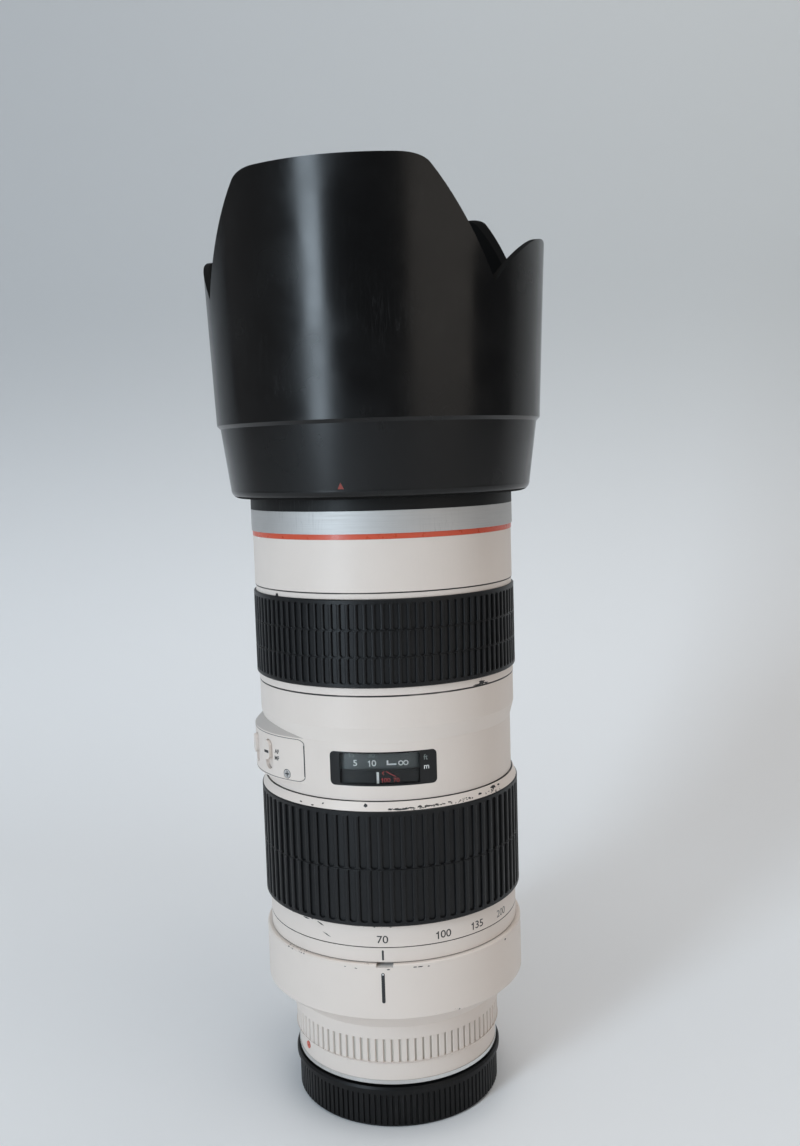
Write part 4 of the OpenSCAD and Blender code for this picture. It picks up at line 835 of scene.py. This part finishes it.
# Floor of the notch in the collar's edge: bare metal, painted paler as painted light against the shade in
# the notch
NOTCH_DEG = 0.8
NOTCH_Z = 56.8
NOTCH_W = 5.1
NOTCH_DEPTH = 3.35
NOTCH_Y = -40.625
notch_floor = outline_mesh([bar(NOTCH_W, NOTCH_DEPTH, y=NOTCH_Y, steps=1)])
notch_floor.transform(Matrix.Scale(MM, 4) @ Matrix.Rotation(math.radians(NOTCH_DEG), 4, "Z")
                      @ Matrix.Translation((0, 0, NOTCH_Z + DECAL_T / 2)))
place_piece("collar_notch_floor", notch_floor, notch_painted_light, "collar")

# Shades of the panel's screws and the mark on its switch
SCREW_DEG = 40.6
SCREW_Z = 113.6
SCREW_R = 1.3
SCREW_GAP = 0.2
SCREW_GAP_OUT = -0.15
CROSS_HALF = 0.95
CROSS_HALF_W = 0.22
CROSS_OUT = -0.3
for side, deg in (("left", -SCREW_DEG), ("right", SCREW_DEG)):
    outer, inner = (circle_points(0, 0, radius)[:-1] for radius in (SCREW_R + SCREW_GAP, SCREW_R))
    ring = on_panel(frame_mesh(outer, inner, layers=1), deg, SCREW_Z, SCREW_GAP_OUT)
    place_piece("screw_gap_shade_" + side, ring, print_black, "barrel")
    arm = [(CROSS_HALF, -CROSS_HALF_W), (CROSS_HALF, CROSS_HALF_W), (CROSS_HALF_W, CROSS_HALF_W)]
    loop = []
    for _ in range(4):
        loop += arm
        arm = [(-y, x) for x, y in arm]
    cross = on_panel(outline_mesh([loop]), deg, SCREW_Z, CROSS_OUT)
    place_piece("screw_cross_shade_" + side, cross, print_black, "barrel")

SWITCH_DEG = 25.0
SWITCH_PROUD = 0.9
SWITCH_MARK_Z = 119.4
switch_mark = outline_mesh([bar(width=2.6, height=0.85)])
place_piece("focus_mode_mark", on_panel(switch_mark, SWITCH_DEG, SWITCH_MARK_Z, SWITCH_PROUD),
            print_black, "focus_mode_switch")


# Ribbed rubber grips

RIM_ROUND = 0.3
RIM_H = 1.25
BAND_STEP = 0.3
BAND_H = 0.3
RIB_SHARE = 0.40
RIB_BEVEL = 0.14
RIB_ROOT = 0.15
RIB_DROP = 0.01
RIB_SINK = 0.05
RIB_SHARP_DEG = 50.0
ROW_TURN = 0.006
ARCH_H = 0.6
ARCH_STEPS = 6


def turned_mesh(name, profile, segments=240, sharp_deg=35.0):
    """A closed profile of radius and height in millimetres, turned round the axis."""
    made = bmesh.new()
    rings = []
    for i in range(segments):
        turn = 2 * math.pi * i / segments
        rings.append([made.verts.new((r * math.sin(turn) * MM, -r * math.cos(turn) * MM, z * MM))
                      for r, z in profile])
    for ring, after in zip(rings, rings[1:] + rings[:1]):
        bridge(made, ring, after, smooth=True)
    mesh = built_mesh(made, name)
    mesh.set_sharp_from_angle(angle=math.radians(sharp_deg))
    return mesh


def rib_mesh(width, pitch, height, depth, root_r):
    """One rib that points along X and widens at its ends, so that the grooves beside it end in arches."""
    made = bmesh.new()
    steps = [math.cos(math.pi / 2 * i / ARCH_STEPS) for i in range(ARCH_STEPS + 1)]
    low_end = [(-RIB_SINK, 1.0)] + [(ARCH_H * (1 - step), 1 - math.sqrt(1 - step * step)) for step in steps]
    slices = low_end + [(height - z, flare) for z, flare in reversed(low_end)]
    rings = []
    for z, flare in slices:
        half = width / 2 + (pitch - width) / 2 * flare
        section = ((-half, 0.0), (-half, depth - RIB_BEVEL), (RIB_BEVEL - half, depth), (0.0, depth),
                   (half - RIB_BEVEL, depth), (half, depth - RIB_BEVEL), (half, 0.0))
        ring = []
        for across, out in section:
            turn = across / (root_r + depth)
            reach = root_r + out
            x = reach * math.cos(turn) - root_r
            ring.append(made.verts.new((x * MM, reach * math.sin(turn) * MM, z * MM)))
        rings.append(ring)
    for low, high in zip(rings, rings[1:]):
        bridge(made, low, high, smooth=True)
    made.faces.new(rings[-1])
    made.faces.new(list(reversed(rings[0])))
    mesh = built_mesh(made, "rib")
    mesh.set_sharp_from_angle(angle=math.radians(RIB_SHARP_DEG))
    return mesh


def rib_ring_tree():
    """Rows of ribs round a sleeve."""
    tree = bpy.data.node_groups.new("rib_ring", "GeometryNodeTree")
    sockets = {"Rib": "Object", "Sleeve": "Object", "Rib Count": "Int", "Radius": "Float", "Rows": "Int",
               "First Height": "Float", "Row Pitch": "Float", "Row Turn": "Float", "Finish": "Material"}
    for key, kind in sockets.items():
        tree.interface.new_socket(key, in_out="INPUT", socket_type="NodeSocket" + kind)
    tree.interface.new_socket("Geometry", in_out="OUTPUT", socket_type="NodeSocketGeometry")
    make = Shade(tree)
    given = make.add("NodeGroupInput").outputs
    index = make.add("GeometryNodeInputIndex").outputs[0]

    def upright(z):
        return make.fill(make.add("ShaderNodeCombineXYZ"), Z=z).outputs[0]

    def spread(points, instance, step):
        facing = make.add("FunctionNodeEulerToRotation")
        make.feed(facing.inputs[0], upright(make.calc("MULTIPLY", index, step)))
        placed = make.add("GeometryNodeInstanceOnPoints")
        make.fill(placed, Points=points, Instance=instance, Rotation=facing.outputs[0])
        return placed.outputs["Instances"]

    def shape(source):
        return make.fill(make.add("GeometryNodeObjectInfo"), Object=source).outputs["Geometry"]

    circle = make.add("GeometryNodeMeshCircle")
    make.fill(circle, Vertices=given["Rib Count"], Radius=given["Radius"])
    rib_step = make.calc("DIVIDE", 2 * math.pi, given["Rib Count"])
    row = spread(circle.outputs[0], shape(given["Rib"]), rib_step)
    column = make.add("GeometryNodeMeshLine")
    make.fill(column, Count=given["Rows"], Start_Location=upright(given["First Height"]),
              Offset=upright(given["Row Pitch"]))
    rows = spread(column.outputs[0], row, given["Row Turn"])
    joined = make.add("GeometryNodeJoinGeometry")
    make.feed(joined.inputs[0], rows)
    make.feed(joined.inputs[0], shape(given["Sleeve"]))
    real = make.add("GeometryNodeRealizeInstances")
    make.feed(real.inputs[0], joined.outputs[0])
    finish = make.add("GeometryNodeSetMaterial")
    make.fill(finish, Geometry=real.outputs[0], Material=given["Finish"])
    leave = make.add("NodeGroupOutput")
    make.feed(leave.inputs[0], finish.outputs[0])
    return tree


def grown_mesh(tree, values):
    """The plain mesh that a tree makes with these inputs."""
    holder = bpy.data.objects.new("grower", bpy.data.meshes.new("grower"))
    scene.collection.objects.link(holder)
    growth = holder.modifiers.new("growth", "NODES")
    growth.node_group = tree
    for item in tree.interface.items_tree:
        if item.in_out == "INPUT":
            growth[item.identifier] = values[item.name]
    mesh = shown_mesh(holder)
    holder.modifiers.remove(growth)
    bpy.data.objects.remove(holder)
    return mesh


def rubber_grip(node, body, radius, count, rows):
    """A sleeve with plain rims, thin bands between its rows, and ribs that run between them."""
    z_low, z_high = ends_mm(node)
    seat_r = radius - GRIP_T
    floor_r = radius - GRIP_RIB_DEPTH
    band_r = radius - BAND_STEP
    row_h = (z_high - z_low - 2 * RIM_H - (rows - 1) * BAND_H) / rows
    profile = [(seat_r, z_low), (radius - RIM_ROUND, z_low), (radius, z_low + RIM_ROUND),
               (radius, z_low + RIM_H), (floor_r, z_low + RIM_H)]
    for row in range(1, rows):
        z = z_low + RIM_H + row * row_h + (row - 1) * BAND_H
        profile += [(floor_r, z), (band_r, z), (band_r, z + BAND_H), (floor_r, z + BAND_H)]
    profile += [(floor_r, z_high - RIM_H), (radius, z_high - RIM_H), (radius, z_high - RIM_ROUND),
                (radius - RIM_ROUND, z_high), (seat_r, z_high)]
    sleeve = turned_mesh(node + "_sleeve", profile)
    pitch = 2 * math.pi * radius / count
    root_r = floor_r - RIB_ROOT
    rib = rib_mesh(RIB_SHARE * pitch, pitch, row_h, GRIP_RIB_DEPTH + RIB_ROOT - RIB_DROP, root_r)
    sources = {"Rib": bpy.data.objects.new("rib", rib), "Sleeve": bpy.data.objects.new("sleeve", sleeve)}
    for source in sources.values():
        scene.collection.objects.link(source)
    mesh = grown_mesh(rib_rows, dict(sources, **{
        "Rib Count": count, "Radius": root_r * MM, "Rows": rows, "First Height": (z_low + RIM_H) * MM,
        "Row Pitch": (row_h + BAND_H) * MM, "Row Turn": ROW_TURN, "Finish": grip_rubber}))
    for source in sources.values():
        bpy.data.objects.remove(source)
    piece = place_piece(node + "_rubber", mesh, grip_rubber, body)
    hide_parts(node)


rib_rows = rib_ring_tree()
rubber_grip("zoom_grip", "zoom_ring", ZOOM_GRIP_R, count=76, rows=2)
rubber_grip("focus_grip", "focus_ring", FOCUS_GRIP_R, count=100, rows=3)


# Chipped paint at the places where the real lens has knocked against things

FLAKE_REACH = (0.5, 1.0)
SCRATCH_SPREAD = (0.6, 1.1)
SCRATCH_TIP = 0.15
SPECK_WIDTH = (0.3, 1.1)
SPECK_TALL = (0.2, 0.45)
ZOOM_LIP_SLOPE = -1.1 / 2.6


def flake(width, height, seed, points=18):
    """A ragged blot, counter-clockwise."""
    chance = random.Random(seed)
    outline = []
    for i in range(points):
        turn = 2 * math.pi * i / points
        reach = chance.uniform(*FLAKE_REACH)
        outline.append((width / 2 * reach * math.cos(turn), height / 2 * reach * math.sin(turn)))
    return outline


def scratch(length, rise, width, seed, steps=10):
    """A ragged line that thins out at both ends, counter-clockwise."""
    chance = random.Random(seed)
    low, high = [], []
    for i in range(steps + 1):
        along = i / steps
        half = width / 2 * max(SCRATCH_TIP, math.sin(math.pi * along)) * chance.uniform(*SCRATCH_SPREAD)
        x = (along - 0.5) * length
        y = (along - 0.5) * rise
        low.append((x, y - half))
        high.append((x, y + half))
    return low + high[::-1]


def paint_chips(name, blots, radius, body, scratches=()):
    """Blots are angle, height, width and tallness; scratches are angle, height, length, rise and width."""
    made = []
    for seed, (deg, z_mm, width, tall) in enumerate(blots):
        made.append(wrap(outline_mesh([flake(width, tall, seed)]), deg, z_mm, radius))
    for seed, (deg, z_mm, length, rise, width) in enumerate(scratches):
        made.append(wrap(outline_mesh([scratch(length, rise, width, seed)]), deg, z_mm, radius))
    place_piece(name, joined_mesh(name, made), chip_black, body)


def specks(low_deg, high_deg, z_mm, spread, count, seed):
    """Small blots strewn along an edge."""
    chance = random.Random(seed)
    return [(chance.uniform(low_deg, high_deg), z_mm + chance.uniform(-spread, spread),
             chance.uniform(*SPECK_WIDTH), chance.uniform(*SPECK_TALL)) for _ in range(count)]


def cone(low_mm, low_r, slope):
    """Radius that changes evenly with height."""
    return lambda deg, z_mm: low_r + slope * (z_mm - low_mm)


paint_chips("zoom_lip_chips", [
    (-5.2, 106.9, 1.3, 1.4), (5.0, 105.8, 1.8, 0.7), (8.0, 105.75, 3.4, 0.75), (11.4, 105.8, 2.2, 0.8),
    (14.0, 105.9, 2.4, 0.6), (17.4, 106.1, 1.4, 0.7), (20.8, 106.0, 2.8, 0.7), (24.7, 106.1, 1.9, 0.7),
    (30.7, 106.2, 1.6, 0.5), (40.7, 106.1, 1.4, 0.6), (47.0, 106.4, 2.2, 0.7), (56.2, 106.9, 3.2, 1.3),
    (60.8, 106.9, 1.6, 0.8), (-24.4, 106.6, 0.9, 0.6), (-29.5, 105.7, 1.3, 0.5), (-36.0, 106.0, 1.1, 0.5)]
    + specks(4.0, 26.0, z_mm=105.8, spread=0.2, count=26, seed=3)
    + specks(26.0, 58.0, z_mm=106.0, spread=0.35, count=24, seed=4),
    cone(ZOOM_GRIP_HIGH, ZOOM_LIP_R, ZOOM_LIP_SLOPE), "zoom_ring")
paint_chips("number_band_scratches", [
    (-45.7, 68.9, 1.0, 0.6), (-33.0, 68.9, 1.1, 0.5)], INDEX_R, "zoom_ring", scratches=[
    (-36.5, 68.6, 2.8, -0.15, 0.5), (-28.4, 68.05, 2.5, -1.05, 0.5), (-25.3, 65.0, 2.7, -1.15, 0.38)])
paint_chips("collar_chips", [
    (13.2, 56.65, 1.4, 0.4), (15.4, 56.6, 2.0, 0.45), (18.9, 56.45, 0.9, 0.4), (2.3, 56.3, 1.2, 0.5),
    (-11.3, 56.3, 1.1, 0.3), (-16.0, 56.5, 0.8, 0.25), (61.0, 56.4, 1.1, 0.8)], COLLAR_R, "collar")
paint_chips("focus_band_chips", [
    (46.6, 140.55, 4.2, 0.6), (49.3, 140.95, 3.6, 1.7), (52.0, 140.6, 2.6, 0.6), (-46.5, 169.45, 1.9, 1.5)],
    FOCUS_BAND_R, "focus_ring")

# Index triangle on the hood
HOOD_LOW_Z = 201.4
HOOD_LOW_R = 48.2
HOOD_SLOPE = 2.5 / 19.0
TRIANGLE_Z = 202.6
TRIANGLE_HALF = 0.95
triangle = [(-TRIANGLE_HALF, -TRIANGLE_HALF), (TRIANGLE_HALF, -TRIANGLE_HALF), (0.0, TRIANGLE_HALF)]
hood_side = cone(HOOD_LOW_Z, HOOD_LOW_R, HOOD_SLOPE)
hood_mark = wrap(outline_mesh([triangle]), HOOD_DEG, TRIANGLE_Z, hood_side)
place_piece("hood_index_triangle", hood_mark, hood_red, "hood")


# Floor, backdrop and soft studio light

FLOOR_HALF = 1.6
WALL_Y = 0.55
WALL_BEND = 0.35
WALL_TOP = 1.9
WALL_STEPS = 16
FLOOR_DARK = (0.86, 0.87, 0.885, 1)
FLOOR_LIGHT = (0.88, 0.89, 0.905, 1)
# Wall colours, darker than the floor and darker towards the left: painted shade
WALL_LEFT = (0.50, 0.51, 0.52, 1)
WALL_RIGHT = (0.60, 0.61, 0.61, 1)
ROOM_COLOUR = (0.80, 0.82, 0.85, 1)
ROOM_STRENGTH = 0.13


def build_backdrop():
    made = bmesh.new()
    line = [(-FLOOR_HALF, 0.0)]
    for i in range(WALL_STEPS + 1):
        turn = math.pi / 2 * i / WALL_STEPS
        line.append((WALL_Y - WALL_BEND + WALL_BEND * math.sin(turn), WALL_BEND * (1 - math.cos(turn))))
    line.append((WALL_Y, WALL_TOP))
    rows = [[made.verts.new((x, y, z)) for y, z in line] for x in (-FLOOR_HALF, FLOOR_HALF)]
    for i in range(len(line) - 1):
        made.faces.new((rows[0][i], rows[1][i], rows[1][i + 1], rows[0][i + 1])).smooth = True
    mesh = built_mesh(made, "backdrop")
    material, shade, shader = new_material("pale_backdrop", specular=0.3)
    place = shade.coords()
    tone = shade.noise(place, scale=3.0, detail=2.0)
    floor = shade.blend(tone, FLOOR_DARK, FLOOR_LIGHT)
    # Painted shade: the wall darker than the floor, and darker towards the left
    wall = shade.blend(shade.span(shade.along(place, "X"), -0.4, 0.4), WALL_LEFT, WALL_RIGHT)
    rise = shade.span(shade.along(place, "Z"), 0.02, 0.35)
    shade.fill(shader, Base_Color=shade.blend(rise, floor, wall), Roughness=0.6)
    mesh.materials.append(material)
    backdrop = bpy.data.objects.new("backdrop", mesh)
    scene.collection.objects.link(backdrop)


def area_light(name, place, aim_z, size, power, colour):
    data = bpy.data.lights.new(name, "AREA")
    data.shape = "RECTANGLE"
    data.size, data.size_y = size
    data.energy = power
    data.color = colour
    light = bpy.data.objects.new(name, data)
    light.location = place
    light.rotation_euler = (Vector((0, 0, aim_z)) - Vector(place)).to_track_quat("-Z", "Y").to_euler()
    scene.collection.objects.link(light)


build_backdrop()
area_light("window_light", place=(-0.71, -1.06, 0.55), aim_z=0.17, size=(0.27, 1.1), power=10.6,
           colour=(0.74, 0.88, 1.0))
area_light("left_fill", place=(-1.5, -0.3, 0.7), aim_z=0.14, size=(1.6, 1.6), power=0.8,
           colour=(1.0, 0.99, 0.98))
area_light("right_fill", place=(1.4, -1.2, 0.8), aim_z=0.14, size=(1.6, 1.6), power=6.4,
           colour=(1.0, 0.92, 0.83))
area_light("top_fill", place=(0.15, -0.2, 1.35), aim_z=0.1, size=(1.2, 1.0), power=7.8,
           colour=(1.0, 0.985, 0.965))
world = bpy.data.worlds.new("soft_room")
world.use_nodes = True
room = world.node_tree.nodes["Background"].inputs
room["Color"].default_value = ROOM_COLOUR
room["Strength"].default_value = ROOM_STRENGTH
scene.world = world
